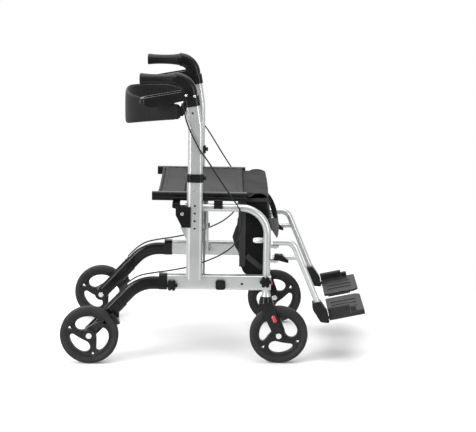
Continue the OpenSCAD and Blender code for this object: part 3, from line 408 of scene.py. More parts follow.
def moulded(name, dark, light, low, high, grain, strength, edge_wear_and_highlight=EDGE_WEAR_AND_HIGHLIGHT, edge_r=EDGE_R):
    mat, tree, shader = new_finish(name, low)
    shader.inputs["Specular IOR Level"].default_value = 0.2
    coords = object_coords(tree)
    cloud = noise(tree, coords, 22.0)
    normal, edge = rounded_edges(tree, edge_r)
    colour = two_tone(tree, cloud, dark, light)
    # Edges painted lighter in patches, partly as wear and partly as a painted highlight.
    tree.links.new(wear_and_highlight(tree, colour, edge, cloud, edge_wear_and_highlight, 0.9), shader.inputs["Base Color"])
    skin = noise(tree, coords, grain, 2.0)
    roughness_range(tree, shader, cloud, low, high)
    add_bump(tree, shader, skin, strength, 0.0003, normal)
    return mat


black_plastic = moulded("black_plastic", grey(0.004), grey(0.008), 0.18, 0.26, 1500.0, 0.12)
black_frame = moulded("black_frame", grey(0.004), grey(0.007), 0.1, 0.16, 700.0, 0.03)
rim_black = moulded("rim_black", grey(0.007), grey(0.012), 0.34, 0.46, 1300.0, 0.15)
tyre_black = moulded("tyre_black", grey(0.011), grey(0.019), 0.5, 0.7, 900.0, 0.3)
grip_rubber = moulded("grip_rubber", grey(0.004), grey(0.008), 0.26, 0.36, 1100.0, 0.3)
cable_jacket = moulded("cable_jacket", grey(0.004), grey(0.007), 0.3, 0.4, 2000.0, 0.05)
# Its edges carry a painted highlight.
grey_plastic = moulded(
    "grey_plastic", grey(0.013), grey(0.021), 0.34, 0.46, 1200.0, 0.2, FOOTPLATE_PAINTED_HIGHLIGHT, FOOTPLATE_EDGE_R
)

# %% [markdown]
# ## Cloth finishes
# The seat and the bag are woven nylon. Two sets of bands at right angles stand for the warp and the weft,
# and the higher of the two is taken at each point. The bands are coarser than real threads, with a rib
# every 10 to 16 mm. They drive the bump and a slight change of colour, and a broad noise makes the cloth
# look used.

# %% Woven cloth
WAVE_FACTOR = 20


def bands(tree, coords, scale, axis):
    tex = tree.nodes.new("ShaderNodeTexWave")
    tex.wave_type = "BANDS"
    tex.bands_direction = axis
    tex.inputs["Scale"].default_value = scale
    tree.links.new(coords, tex.inputs["Vector"])
    return tex.outputs["Fac"]


def woven(name, dark, light, radian, axes, roughness, strength, sheen, gloss=0.2):
    """Cloth whose ribs repeat every two pi radians of the given length. The texture itself counts by 20."""
    mat, tree, shader = new_finish(name, roughness)
    shader.inputs["Specular IOR Level"].default_value = gloss
    coords = object_coords(tree)
    per_metre = 1 / radian
    warp = bands(tree, coords, per_metre / WAVE_FACTOR, axes[0])
    weft = bands(tree, coords, per_metre / WAVE_FACTOR, axes[1])
    weave = math_node(tree, "MAXIMUM", warp, weft)
    cloud = noise(tree, coords, 9.0)
    fine = math_node(tree, "MULTIPLY", weave, 0.2)
    broad = math_node(tree, "MULTIPLY", cloud, 0.8)
    shade = math_node(tree, "ADD", fine, broad)
    tree.links.new(two_tone(tree, shade, dark, light, 0.25, 0.8), shader.inputs["Base Color"])
    add_bump(tree, shader, weave, strength, 0.0004)
    shader.inputs["Sheen Weight"].default_value = sheen
    shader.inputs["Sheen Roughness"].default_value = 0.5
    return mat


seat_fabric = woven("seat_fabric", grey(0.009), grey(0.024), 0.0016, "XY", 0.66, 0.3, 0.08, 0.12)
lid_fabric = woven("lid_fabric", grey(0.006), grey(0.013), 0.0016, "XY", 0.7, 0.4, 0.05, 0.12)
bag_fabric = woven("bag_fabric", grey(0.002), grey(0.006), 0.002, "YZ", 0.75, 0.45, 0.02, 0.08)
webbing = woven("webbing", grey(0.014), grey(0.028), 0.0026, "YZ", 0.7, 0.7, 0.06)
band_cloth = woven("band_cloth", grey(0.004), grey(0.010), 0.0018, "YZ", 0.6, 0.35, 0.03, 0.16)

# %% [markdown]
# Three small finishes remain: the red reflector with its prisms, which a cell pattern gives, the pale tab
# on the bag and the sewing thread.

# %% Red reflector, pale tab and thread
reflector_red, tree, shader = new_finish("reflector_red", 0.18)
coords = object_coords(tree)
cells = tree.nodes.new("ShaderNodeTexVoronoi")
cells.inputs["Scale"].default_value = 420.0
tree.links.new(coords, cells.inputs["Vector"])
red = two_tone(tree, cells.outputs["Distance"], (0.75, 0.012, 0.02), (0.42, 0.004, 0.01), 0.0, 0.6)
tree.links.new(red, shader.inputs["Base Color"])
add_bump(tree, shader, cells.outputs["Distance"], 0.5, 0.0005)
shader.inputs["Coat Weight"].default_value = 0.6

pale_tab, tree, shader = new_finish("pale_tab", 0.4)
coords = object_coords(tree)
beads = noise(tree, coords, 1600.0, 1.0)
tree.links.new(two_tone(tree, beads, (0.74, 0.74, 0.74), (0.84, 0.84, 0.84)), shader.inputs["Base Color"])
add_bump(tree, shader, beads, 0.2, 0.0002)

thread, tree, shader = new_finish("thread", 0.7)
coords = object_coords(tree)
twist = noise(tree, coords, 2500.0, 1.0)
tree.links.new(two_tone(tree, twist, (0.05, 0.05, 0.05), (0.10, 0.10, 0.10)), shader.inputs["Base Color"])
add_bump(tree, shader, twist, 0.4, 0.0002)

# %% [markdown]
# ## Dressing the CAD nodes
# A table names the finish of each kind of rigid piece, so left and right are dressed alike. The nodes'
# shapes stay as they are.

# %% Give the CAD nodes their finishes
finish_of = {
    "lower_rail": silver_tube,
    "main_post": silver_tube,
    "front_tube": silver_tube,
    "handle_tube": dark_below_tube,
    "legrest_tube": silver_tube,
    "post_collar": black_plastic,
    "star_knobs": black_plastic,
    "seat_brackets": black_plastic,
    "handle_elbow": black_plastic,
    "brake_lever": black_plastic,
    "legrest_latch": black_plastic,
    "footplate_hinge": black_plastic,
    "brake_shoe": black_plastic,
    "rear_leg": black_frame,
    "caster_fork": black_frame,
    "seat_rail": black_frame,
    "rear_rim": rim_black,
    "front_rim": rim_black,
    "rear_tyre": tyre_black,
    "front_tyre": tyre_black,
    "frame_bolts": bright_steel,
    "caster_pins": bright_steel,
    "height_button": bright_steel,
    "grip": grip_rubber,
    "footplate": grey_plastic,
}
for name, obj in nodes.items():
    key = name[:-2] if name[-2:] in ("_l", "_r") else name
    finish = brace_metal if key.startswith("brace_bar") else finish_of.get(key)
    if finish:
        obj.data.materials.clear()
        obj.data.materials.append(finish)
print("finishes", len(bpy.data.materials))

# %% [markdown]
# ## Making pieces
# Each piece that is modelled here starts as a bmesh, which is quick to build and to bend by rule. A helper
# turns it into an object with its finishes and says which body of the chair it rides on. Trim such as
# stitches is added to the same mesh with its own finish, so that it moves with the cloth when the chair
# folds.

# %% Mesh helpers


def as_object(bm, name):
    bmesh.ops.recalc_face_normals(bm, faces=bm.faces)
    mesh = bpy.data.meshes.new(name)
    bm.to_mesh(mesh)
    bm.free()
    return link_object(name, mesh)


def baked(obj):
    """The object's final form as a new mesh. The object itself is taken away."""
    bpy.context.view_layer.update()
    mesh = bpy.data.meshes.new_from_object(obj.evaluated_get(bpy.context.evaluated_depsgraph_get()))
    bpy.data.objects.remove(obj)
    bm = bmesh.new()
    bm.from_mesh(mesh)
    bpy.data.meshes.remove(mesh)
    return bm


def keep_piece(bm, name, finishes, body):
    obj = as_object(bm, name)
    mesh = obj.data
    mesh.polygons.foreach_set("use_smooth", [True] * len(mesh.polygons))
    for finish in finishes:
        mesh.materials.append(finish)
    if body:
        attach(obj, body)
    return obj


def add_to(bm, extra, index):
    """Adds a second piece to a mesh, with the finish of that index."""
    mesh = bpy.data.meshes.new("extra")
    bmesh.ops.recalc_face_normals(extra, faces=extra.faces)
    extra.to_mesh(mesh)
    extra.free()
    first = len(bm.faces)
    bm.from_mesh(mesh)
    bm.faces.ensure_lookup_table()
    for face in bm.faces[first:]:
        face.material_index = index
    bpy.data.meshes.remove(mesh)


# %% [markdown]
# ## Brake cables
# Each brake lever pulls a black jacketed cable. It leaves the lever, hangs in a bow beside the post, passes
# behind the side tube and runs along the rear leg to the brake. Both ends go into the chair, so it is a
# stiff cord of fixed length. Here it is one fixed tube, and only its boot rides the handle.

# %% Cable route
CABLE_D = 5.0
route = [
    (-44, 303, 902), (-38, 302, 880), (-31, 302, 846), (-18, 302, 812), (-2, 302, 779), (16, 300, 745),
    (40, 296, 712), (70, 288, 665), (101, 281, 617), (130, 276, 574), (152, 273, 537), (158, 270, 483),
    (140, 266, 425), (94, 260, 383), (29, 257, 352), (-25, 257, 334), (-90, 254, 320), (-140, 253, 312),
    (-184, 252, 302), (-216, 252, 284), (-242, 252, 260), (-266.3, 252, 233.1),
]
ROUTE_STEPS = 6


def smooth_route(points, steps):
    out = []
    last = len(points) - 1
    for i in range(last):
        a = Vector(points[max(i - 1, 0)])
        b = Vector(points[i])
        c = Vector(points[i + 1])
        d = Vector(points[min(i + 2, last)])
        for k in range(steps):
            t = k / steps
            square = (2 * a - 5 * b + 4 * c - d) * t**2
            cube = (3 * b - a - 3 * c + d) * t**3
            out.append((2 * b + (c - a) * t + square + cube) / 2)
    return out + [Vector(points[-1])]


def tube_mesh(name, path, diameter):
    curve = bpy.data.curves.new(name, "CURVE")
    curve.dimensions = "3D"
    curve.bevel_depth = diameter / 2
    curve.bevel_resolution = 2
    curve.use_fill_caps = True
    spline = curve.splines.new("POLY")
    spline.points.add(len(path) - 1)
    for point, place in zip(spline.points, path):
        point.co = (*place, 1)
    return baked(link_object(name + "_line", curve))


# %% Turned pieces


def turned(start, direction, profile, segments=24):
    """A turned piece: the profile lists (distance along the axis, radius) in millimetres."""
    bm = bmesh.new()
    axis = Vector(direction).normalized()
    side = axis.orthogonal().normalized()
    verts = [bm.verts.new(start + axis * (a * MM) + side * (r * MM)) for a, r in profile]
    edges = [bm.edges.new(pair) for pair in zip(verts, verts[1:])]
    bmesh.ops.spin(
        bm, geom=verts + edges, cent=start, axis=axis, angle=math.tau, steps=segments, use_merge=True
    )
    bmesh.ops.remove_doubles(bm, verts=bm.verts, dist=1e-6)
    return bm


# %% Cables and their end fittings
boot_form = [
    (-1, 0), (-1, 4.2), (7, 4.2), (8, 3.8), (9, 4.0), (11, 3.6), (12, 3.8), (14, 3.4), (20, 2.8), (20, 2.3),
]
barrel_form = [(0.2, 0), (0.2, 4.6), (5, 4.6), (5.6, 4.0), (6, 3.6), (16, 3.6), (17, 3.0), (17, 2.3)]
for side, sign in SIDES.items():
    path = [at(p.x, sign * p.y, p.z) for p in smooth_route(route, ROUTE_STEPS)]
    jacket = tube_mesh("cable", path, CABLE_D * MM)
    cable = keep_piece(jacket, f"cable_{side}", [cable_jacket], None)
    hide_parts(f"brake_cable_{side}")
    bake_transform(cable)
    boot = turned(path[0], path[ROUTE_STEPS] - path[0], boot_form)
    keep_piece(boot, f"cable_boot_{side}", [black_plastic], f"handle_{side}")
    barrel = turned(path[-1], path[-1 - ROUTE_STEPS] - path[-1], barrel_form)
    keep_piece(barrel, f"cable_barrel_{side}", [bright_steel], FRAME_OF[side])

# %% [markdown]
# ## Seat
# The seat is a sheet of woven nylon stretched between the two seat rails. It sags a little in the middle,
# its rear and front borders are folded and stitched, and dark welts cross it behind the posts and along
# both borders. A cloth simulation could stretch it, but a taut sheet hardly moves, so a function gives its
# height.

# %% Stitches


def point_on(path, share):
    """The point and direction at a share, from 0 to 1, of a list of points."""
    place = min(max(share, 0), 1) * (len(path) - 1)
    first = min(int(place), len(path) - 2)
    step = path[first + 1] - path[first]
    return path[first] + step * (place - first), step.normalized()


def stitches(path, pitch=5.0, length=3.2, radius=0.45):
    """A row of thread stitches along the path."""
    bm = bmesh.new()
    total = sum((b - a).length for a, b in zip(path, path[1:]))
    count = int(total / (pitch * MM))
    for k in range(count):
        place, along = point_on(path, (k + 0.5) / count)
        turn = along.to_track_quat("Z", "Y").to_matrix().to_4x4()
        bmesh.ops.create_cone(
            bm, cap_ends=True, segments=6, radius1=radius * MM, radius2=radius * MM, depth=length * MM,
            matrix=Matrix.Translation(place) @ turn,
        )
    return bm


# %% Seat form
SEAT_REAR = -126.0
SEAT_FRONT = 165.0
SEAT_HALF = 223.4
SEAT_Z = 590.2
SEAT_SAG = 9.0
SEAM_X = -36.0
HEM = 24.0
CLOTH_T = 2.2
WELT_D = 5.0


def seat_z(x, v):
    sag = SEAT_SAG * (1 - abs(v) ** 2.4)
    edge = math.exp(-(1 - abs(v)) * 11)
    pull = 0.5 * edge * math.sin(x * 0.21 + 2 * v)
    ripple = 0.4 * math.sin(x * 0.045 + v * 5) * (1 - v * v)
    seam = 1.6 * math.exp(-(((x - SEAM_X) / 2.2) ** 2)) * (1 - edge)
    rear_hem = 1 / (1 + math.exp((x - SEAT_REAR - HEM) * 1.2))
    front_hem = 1 / (1 + math.exp((SEAT_FRONT - HEM - x) * 1.2))
    return SEAT_Z - 1.5 - sag + pull + ripple + seam + rear_hem + front_hem


def seat_point(u, v):
    x = SEAT_REAR + (SEAT_FRONT - SEAT_REAR) * (u + 1) / 2
    return at(x, SEAT_HALF * v, seat_z(x, v))


# %% Seat sheet
bm = bmesh.new()
bmesh.ops.create_grid(bm, x_segments=150, y_segments=56, size=1)
for v in bm.verts:
    v.co = seat_point(v.co.x, v.co.y)
bmesh.ops.solidify(bm, geom=bm.faces[:], thickness=CLOTH_T * MM)
for x in (SEAT_REAR + 4, SEAT_REAR + HEM - 4, SEAT_FRONT - HEM + 4, SEAT_FRONT - 4, SEAM_X - 6, SEAM_X + 6):
    row = [at(x, SEAT_HALF * k / 30, seat_z(x, k / 30) + 0.2) for k in range(-29, 30)]
    add_to(bm, stitches(row), 1)
for x in (SEAM_X, SEAT_REAR + 9, SEAT_FRONT - 1):
    welt = [at(x, SEAT_HALF * k / 30, seat_z(x, k / 30) - 1.2) for k in range(-29, 30)]
    add_to(bm, tube_mesh("welt", welt, WELT_D * MM), 2)
for sign in SIDES.values():
    row = [
        at(x, sign * (SEAT_HALF - 9), seat_z(x, 1 - 9 / SEAT_HALF) + 0.2)
        for x in range(int(SEAT_REAR) + 3, int(SEAT_FRONT) - 2, 6)
    ]
    add_to(bm, stitches(row), 1)
seat = keep_piece(bm, "seat_cloth", [seat_fabric, thread, bag_fabric], None)
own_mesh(seat)
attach(seat, "seat")
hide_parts("seat_sling")

# %% [markdown]
# ## Bag
# The bag hangs between the front tubes. It is a bucket of thin coated nylon that bulges backward low on its
# rear, is slack in front and has rounded lower edges. Straps and a plain pale tab are sewn to its sides. It
# could be draped by a simulation, but its outline is known, so a tube of rings is used: a cylinder that is
# cut into rings and whose points are then put where the cloth lies. The helper hands each point's place
# along the tube, from -1 to 1, and its angle round it to a function, which answers with the real place.

# %% Ring tubes and straps


def ring_tube(segments, rings, place):
    bm = bmesh.new()
    bmesh.ops.create_cone(bm, cap_ends=True, segments=segments, radius1=1, radius2=1, depth=2)
    uprights = [e for e in bm.edges if abs(e.verts[0].co.z - e.verts[1].co.z) > 1]
    bmesh.ops.subdivide_edges(bm, edges=uprights, cuts=rings)
    for v in bm.verts:
        v.co = place(v.co.z, math.atan2(v.co.y, v.co.x))
    return bm


def flat_oval(angle, half_w, half_t, power):
    """A point on a rounded rectangle that reaches half_w and half_t each way."""
    c = math.cos(angle)
    s = math.sin(angle)
    return (
        half_w * math.copysign(abs(c) ** (2 / power), c),
        half_t * math.copysign(abs(s) ** (2 / power), s),
    )


def ribbon(path, normal, width, thick, rings=40, power=4):
    """A flat strap along the path, lying on the surface whose outward direction is given."""

    def place(t, angle):
        centre, along = point_on(path, (t + 1) / 2)
        across = along.cross(normal).normalized()
        w, h = flat_oval(angle, width / 2 * MM, thick / 2 * MM, power)
        return centre + across * w + across.cross(along) * h

    return ring_tube(16, rings, place)


# %% Bag form
BAG_HALF = 221.0
BAG_FOOT = 297.0
BAG_RIM = 571.0
BAG_WALL = 2.4
FOOT_R = 18.0
REAR_X = 153.0
REAR_BULGE = 22.0
REAR_TUCK = 10.0
BULGE_Z = 382.0
FACE_X = 261.0
FACE_SLACK = 10.0
FACE_TUCK = 14.0


def bag_rear(y, z):
    middle = max(0, 1 - (y / BAG_HALF) ** 2) ** 2
    bulge = REAR_BULGE * middle * math.exp(-(((z - BULGE_Z) / 30) ** 2))
    return REAR_X - bulge + REAR_TUCK * math.exp(-(((z - BAG_FOOT) / 34) ** 2))


def bag_front(z):
    slack = FACE_SLACK * math.exp(-((z - BAG_FOOT) / 60))
    return FACE_X - slack - FACE_TUCK * math.exp(-(((BAG_RIM - z) / 55) ** 2))


def bag_point(t, angle):
    z = BAG_FOOT + (BAG_RIM - BAG_FOOT) * (t + 1) / 2
    low = max(0, 1 - (z - BAG_FOOT) / FOOT_R)
    inset = FOOT_R * (1 - math.sqrt(max(0, 1 - low**2)))
    front = bag_front(z)
    y = flat_oval(angle, 1, BAG_HALF - inset, 9)[1]
    rear = bag_rear(y, z)
    x = flat_oval(angle, (front - rear) / 2 - inset, 1, 9)[0]
    flank = abs(y) / BAG_HALF
    slack = (1 - flank**6) * (1 - low)
    broad = 2.2 * math.sin(z * 0.09 + y * 0.012) * math.sin(y * 0.021 + 1)
    fine = 1.3 * math.sin(z * 0.21 + y * 0.04)
    return at((front + rear) / 2 + x + (broad + fine) * slack, y, z)


def bag_side(x, z, sign):
    return at(x, sign * (BAG_HALF + 0.6), z)


def tab_point(t, angle, sign):
    x, z = flat_oval(angle, 19, 9.5, 3)
    return at(218 + x, sign * (BAG_HALF + 0.8 + 1.2 * t), 423.5 + z)


# %% Bag shell
bm = ring_tube(144, 70, bag_point)
lid_face = [f for f in bm.faces if f.calc_center_median().z > (BAG_RIM - 1) * MM]
bmesh.ops.delete(bm, geom=lid_face, context="FACES_ONLY")
bmesh.ops.recalc_face_normals(bm, faces=bm.faces)
bmesh.ops.solidify(bm, geom=bm.faces[:], thickness=BAG_WALL * MM)
for sign in SIDES.values():
    out = Vector((0, sign, 0))
    upright = [bag_side(163, z, sign) for z in range(330, 566, 6)]
    add_to(bm, ribbon(upright, out, 21, 3.4), 1)
    slant = [bag_side(178 + 54 * k / 12, 369 - 46 * k / 12, sign) for k in range(13)]
    add_to(bm, ribbon(slant, out, 18, 3.4, rings=16), 1)
    add_to(bm, ring_tube(40, 1, lambda t, angle: tab_point(t, angle, sign)), 2)
    rim_line = [bag_side(154 + 96 * k / 16, BAG_RIM - 7, sign) for k in range(17)]
    add_to(bm, ribbon(rim_line, out, 12, 3.2, rings=20), 1)
    for edge in (-9, 9):
        row = [p + Vector((edge * MM, sign * 1.9 * MM, 0)) for p in upright]
        add_to(bm, stitches(row), 3)
bag = keep_piece(bm, "bag_shell", [bag_fabric, webbing, pale_tab, thread], None)
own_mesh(bag)
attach(bag, "right_frame")
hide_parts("bag")
print("bag faces", len(bag.data.polygons))

# %% [markdown]
# The lid is a flap that lies on the bag. Its rear edge is tucked under the seat's front edge, so it has to
# follow the seat's sag there, and its corners keep clear of the seat rails when it is lifted. A flat grid
# is bent to that form, then thickened and hemmed.

# %% Lid form
LID_HALF = 231.0
LID_REAR = 157.0
LID_UNDER = 3.4
LID_HINGE_X = 179.0
RAIL_INSIDE = 217.0
LID_FRONT = 249.0
LID_RISE = 4.0
LID_FOOT = 577.0
LID_SIDE = 9.0
LID_T = 3.0
LID_HEM_D = 4.2


def lid_point(u, v):
    x = (LID_REAR + LID_FRONT) / 2 + (LID_FRONT - LID_REAR) / 2 * u
    slack = LID_SIDE if v < 0 else LID_SIDE / 3
    lift = LID_RISE + slack * abs(v) ** 8
    arch = (1 - abs(u) ** 2.6) * lift
    rear = (1 - u) / 2
    inside = 1 / (1 + math.exp((abs(v) * LID_HALF - RAIL_INSIDE + 5) * 0.9))
    meet = (seat_z(SEAT_FRONT, min(abs(v) * LID_HALF / SEAT_HALF, 1)) - LID_UNDER - LID_FOOT) * inside
    wave = 1.2 * math.sin(v * 7 + u * 2) * (1 - u * u) + 0.5 * math.sin(v * 17 + u) * (1 - rear)
    corner = (LID_HINGE_X - LID_REAR) * rear * (1 - inside) - 3 * v * v * (u + 1) / 2
    start = min(max((x + corner - LID_HINGE_X - 6) / 16, 0), 1)
    arch *= inside + (1 - inside) * start * start * (3 - 2 * start)
    return at(x + corner, LID_HALF * v, LID_FOOT + arch + meet * rear**2 + wave)


# %% Bag lid
bm = bmesh.new()
bmesh.ops.create_grid(bm, x_segments=30, y_segments=90, size=1)
for v in bm.verts:
    v.co = lid_point(v.co.x, v.co.y)
bmesh.ops.solidify(bm, geom=bm.faces[:], thickness=LID_T * MM)
for sign in SIDES.values():
    hem = [lid_point(-1 + k / 10, sign * 0.995) for k in range(21)]
    add_to(bm, tube_mesh("lid_hem", hem, LID_HEM_D * MM), 1)
front_hem = [lid_point(0.995, k / 30) for k in range(-30, 31)]
add_to(bm, tube_mesh("lid_hem", front_hem, LID_HEM_D * MM), 1)
row = [lid_point(0.86, k / 30) + Vector((0, 0, 0.3 * MM)) for k in range(-29, 30)]
add_to(bm, stitches(row), 2)
lid = keep_piece(bm, "bag_lid_cloth", [lid_fabric, webbing, thread], None)
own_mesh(lid)
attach(lid, "bag_lid")
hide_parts("bag_lid")

# %% [markdown]
# ## Calf strap
# A webbing strap is sewn round the front tubes and sags in front of the bag, to hold the sitter's calves.
# It is a ring tube with a flat section, modelled directly, because a remesh would erase anything so thin.

# %% Strap form
STRAP_W = 70.0
STRAP_END_W = 36.0
STRAP_T = 3.0
STRAP_HALF = 248.0
STRAP_BOW = 32.0
STRAP_FLAT = 2.6
STRAP_Z = 470.0
STRAP_DROP = 78.0
BEND_X = 156.0
BEND_Z = 452.0
BEND_REACH = 104.0


def strap_point(t, rise, out=0.0):
    """A point of the strap: rise goes from 0 at its lower edge to 1 at its upper edge."""
    width = STRAP_END_W + (STRAP_W - STRAP_END_W) * (1 - t**4)
    end_z = STRAP_Z + STRAP_END_W * rise
    end_x = BEND_X + math.sqrt(BEND_REACH**2 - (end_z - BEND_Z) ** 2)
    lower_x = BEND_X + math.sqrt(BEND_REACH**2 - (STRAP_Z - BEND_Z) ** 2)
    hang = 1 - abs(t) ** STRAP_FLAT
    x = end_x * (1 - hang) + (lower_x + STRAP_BOW) * hang
    curl = 5 * hang * (2 * rise - 1) ** 2
    z = STRAP_Z - STRAP_DROP * (1 - t * t) + width * rise
    return at(x - curl + STRAP_T / 2 + out, STRAP_HALF * t, z)


def strap_ring(t, angle):
    w, n = flat_oval(angle, 0.5, STRAP_T / 2, 4)
    return strap_point(t, 0.5 + w, n)


# %% Strap
bm = ring_tube(28, 90, strap_ring)
for rise in (0.06, 0.94):
    row = [strap_point(k / 30, rise, STRAP_T / 2 + 0.2) for k in range(-29, 30)]
    add_to(bm, stitches(row), 1)
strap = keep_piece(bm, "strap", [webbing, thread], None)
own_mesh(strap)
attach(strap, "right_frame")
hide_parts("calf_strap")
print("strap faces", len(strap.data.polygons))

# %% [markdown]
# ## Back band
# The band is a foam core in a smooth black sleeve. It bows backward between the two handles, is tallest in
# its middle and narrows to the hinge pins at its ends. A thin piping runs along its edges. The form is a
# ring tube, so that the bow, the taper and the fill are each one function.

# %% Band form
BAND_REACH = 246.0
BAND_HALF = 260.0
BAND_END_X = -56.0
BAND_BOW = 3.2
BAND_Z = 867.0
BAND_END_H = 52.0
BAND_MID_H = 117.0
BAND_RISE = 18.0
BAND_T = 8.0
FOAM_T = 7.0
PIPING_D = 3.0


def taper(t):
    return min(abs(t) / 0.96, 1) ** 1.7


def band_edges(t):
    s = taper(t)
    top = BAND_Z + BAND_END_H / 2 + BAND_RISE * (1 - s)
    foot = BAND_Z - BAND_END_H / 2 - (BAND_MID_H - BAND_END_H - BAND_RISE) * (1 - s)
    return foot, top


def band_plan(t):
    depth = BAND_REACH + BAND_END_X
    x = -BAND_REACH + BAND_T / 2 + depth * abs(t) ** BAND_BOW
    rise = BAND_BOW * depth * abs(t) ** (BAND_BOW - 1) * math.copysign(1, t)
    slope = Vector((rise, BAND_HALF - BAND_T / 2, 0))
    return Vector((x, (BAND_HALF - BAND_T / 2) * t, 0)), slope.normalized()


def band_point(t, angle):
    foot, top = band_edges(t)
    plan, along = band_plan(t)
    inward = Vector((along.y, -along.x, 0))
    close = math.sqrt(max(0, 1 - max(0, (abs(t) - 0.975) / 0.025) ** 2))
    half_h = (top - foot) / 2 * (0.72 + 0.28 * close)
    foam = (BAND_T / 2 + FOAM_T * (1 - taper(t)) * 0.5) * max(close, 0.15)
    h, n = flat_oval(angle, half_h, foam, 5)
    quilt = 0.35 * math.sin(t * 40) * (1 - abs(h) / half_h)
    place = plan + inward * (n + math.copysign(quilt, n))
    return at(place.x, place.y, (top + foot) / 2 + h)


# %% Band
bm = ring_tube(56, 150, band_point)
for pick in (0, 1):
    edge_line = []
    for k in range(-60, 61):
        t = 0.965 * k / 60
        plan = band_plan(t)[0]
        edge_line.append(at(plan.x, plan.y, band_edges(t)[pick] + (0.4 if pick else -0.4)))
    add_to(bm, tube_mesh("piping", edge_line, PIPING_D * MM), 1)
for sign in SIDES.values():
    boss = turned(
        at(BAND_END_X + 6, sign * (BAND_HALF - BAND_T - 1), BAND_Z), (0, sign, 0),
        [(0, 4.2), (0, 8.5), (1.2, 10), (BAND_T + 0.4, 10), (BAND_T + 1.4, 9), (BAND_T + 1.4, 4.2)],
    )
    add_to(bm, boss, 2)
band = keep_piece(bm, "band_pad", [band_cloth, webbing, black_plastic], None)
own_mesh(band)
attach(band, "backrest")
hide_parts("back_band")
print("band faces", len(band.data.polygons))

# %% [markdown]
# ## Rims
# Each rim is one black moulding with a hub, a web and three openings between swept spokes. An opening is
# round at one end and tight at the other, and a small notch sits where each spoke meets the ring. The
# section is spun round the axle, and the openings are then cut out of it with a Boolean, as a moulder's
# cores would do. The front rims show their other face.

# %% Cutting helper


def cut_out(bm, cutter):
    """The mesh with the cutter taken out of it."""
    body = as_object(bm, "moulding")
    tool = as_object(cutter, "core")
    boolean = body.modifiers.new("cut", "BOOLEAN")
    boolean.object = tool
    boolean.operation = "DIFFERENCE"
    boolean.solver = "EXACT"
    form = baked(body)
    bpy.data.objects.remove(tool)
    return form


def core(bm, outline, depth, turn):
    """A prism along y, from an outline in x and z, turned about the axle."""
    spin = Matrix.Rotation(turn, 3, "Y")
    verts = [bm.verts.new(spin @ Vector((x, -depth / 2, z)) * MM) for x, z in outline]
    grown = bmesh.ops.extrude_face_region(bm, geom=[bm.faces.new(verts)])
    top = [g for g in grown["geom"] if isinstance(g, bmesh.types.BMVert)]
    bmesh.ops.translate(bm, vec=(0, depth * MM, 0), verts=top)


# %% Rims with swept spokes
SPOKES = 3
RIM_STEPS = 96
CORE_DEPTH = 60.0
SHARP = math.radians(35)
half_section = [(16.7, 6.05), (16.7, 21), (8, 24), (8, 65), (12, 69), (12, 78)]
section = half_section + [(-a, r) for a, r in reversed(half_section)] + half_section[:1]
opening = [
    (24.2, 0), (24.6, 9), (28, 17), (34.5, 23.5), (43, 26.5), (52, 25), (59.5, 19.5), (64.5, 11), (66.8, 1),
    (66, -12), (62, -25), (55, -38), (46, -48.5), (38, -54), (31, -55), (26, -52), (24.4, -46), (25, -32),
    (25.2, -15),
]
notch = [(13, -59.5), (4.5, -73.5), (21, -73.5)]
FRONT_TURN = {"l": math.radians(49), "r": math.radians(99)}
rounded = smooth_route([(x, 0, z) for x, z in opening + opening[:1]], 3)[:-1]
cores = bmesh.new()
for k in range(SPOKES):
    core(cores, [(p.x, p.z) for p in rounded], CORE_DEPTH, math.tau * k / SPOKES)
    core(cores, notch, CORE_DEPTH, math.tau * k / SPOKES)
blank = turned(Vector((0, 0, 0)), (0, 1, 0), section, RIM_STEPS)
rim_form = cut_out(blank, cores)
for side in SIDES:
    for end in ("rear", "front"):
        low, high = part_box(f"{end}_rim_{side}")
        bm = rim_form.copy()
        if end == "front":
            other_face = Matrix.Rotation(FRONT_TURN[side], 4, "Y") @ Matrix.Scale(-1, 4, (0, 0, 1))
            bmesh.ops.transform(bm, matrix=other_face, verts=bm.verts)
        bmesh.ops.translate(bm, vec=(low + high) / 2, verts=bm.verts)
        rim = keep_piece(bm, f"{end}_spider_{side}", [rim_black], f"{end}_wheel_{side}")
        rim.data.set_sharp_from_angle(angle=SHARP)
        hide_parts(f"{end}_rim_{side}")
print("rim faces", len(rim_form.faces))
rim_form.free()

# %% [markdown]
# ## Small trim
# Red reflectors sit on both cheeks of each caster fork, and screws show at the handle's elbow, at the
# handle tube and at the post's collar. A reflector is a small block with rounded corners, and a screw is a
# turned profile. Each rides the body that carries it.

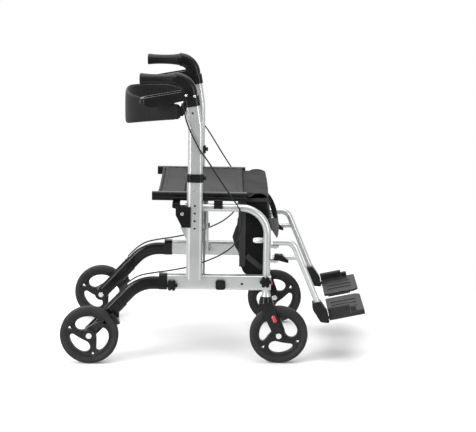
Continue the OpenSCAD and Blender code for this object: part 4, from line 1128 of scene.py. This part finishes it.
# %% Reflectors
REFLECTOR = (13.0, 1.6, 26.0)
REFLECTOR_X = 275.0
REFLECTOR_Z = 160.0
REFLECTOR_R = 5.0
FORK_SLOPE = math.atan2(46, 113)
for side, sign in SIDES.items():
    low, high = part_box(f"caster_fork_{side}")
    bm = bmesh.new()
    for face_y, out in ((low.y, -1), (high.y, 1)):
        plate = bmesh.new()
        bmesh.ops.create_cube(plate, size=1)
        for v in plate.verts:
            v.co = Vector((v.co.x * REFLECTOR[0], v.co.y * REFLECTOR[1], v.co.z * REFLECTOR[2])) * MM
        corners = [e for e in plate.edges if abs(e.verts[0].co.y - e.verts[1].co.y) > MM]
        bmesh.ops.bevel(
            plate, geom=corners, offset=REFLECTOR_R * MM, segments=6, profile=0.5, affect="EDGES", material=-1
        )
        place = at(REFLECTOR_X, 0, REFLECTOR_Z)
        place.y = face_y + out * REFLECTOR[1] * MM / 2
        turn = Matrix.Rotation(-FORK_SLOPE, 4, "Y")
        bmesh.ops.transform(plate, matrix=Matrix.Translation(place) @ turn, verts=plate.verts)
        add_to(bm, plate, 0)
    keep_piece(bm, f"reflectors_{side}", [reflector_red], f"caster_{side}")

# %% Screws
screw_head = [(0, 0), (0, 4.6), (1.0, 4.6), (2.2, 3.8), (2.8, 2.4), (2.8, 2.0), (1.4, 1.8), (1.4, 0)]
flat_head = [(0, 0), (0, 4.6), (0.2, 4.6), (0.4, 4.2), (0.4, 2.0), (0.2, 1.8), (0.2, 0)]
for side, sign in SIDES.items():
    out = Vector((0, sign, 0))
    screws = turned(at(-4, sign * 298, 926), out, screw_head)
    add_to(screws, turned(at(-32.3, sign * 309.4, 930), out, flat_head), 0)
    keep_piece(screws, f"elbow_screws_{side}", [bright_steel], f"handle_{side}")
    plug = turned(at(-10, sign * 292.6, 869), out, [(0, 0), (0, 3.6), (0.8, 3.4), (1.2, 2.4), (1.3, 0)])
    keep_piece(plug, f"tube_plug_{side}", [black_plastic], f"handle_{side}")
    clamp = turned(
        at(27, sign * 281, 649), (1, 0, 0),
        [(0, 0), (0, 4), (3, 4), (3, 7), (4, 7.6), (9, 7.6), (10, 7), (10, 0)],
    )
    keep_piece(clamp, f"collar_screw_{side}", [black_plastic], FRAME_OF[side])
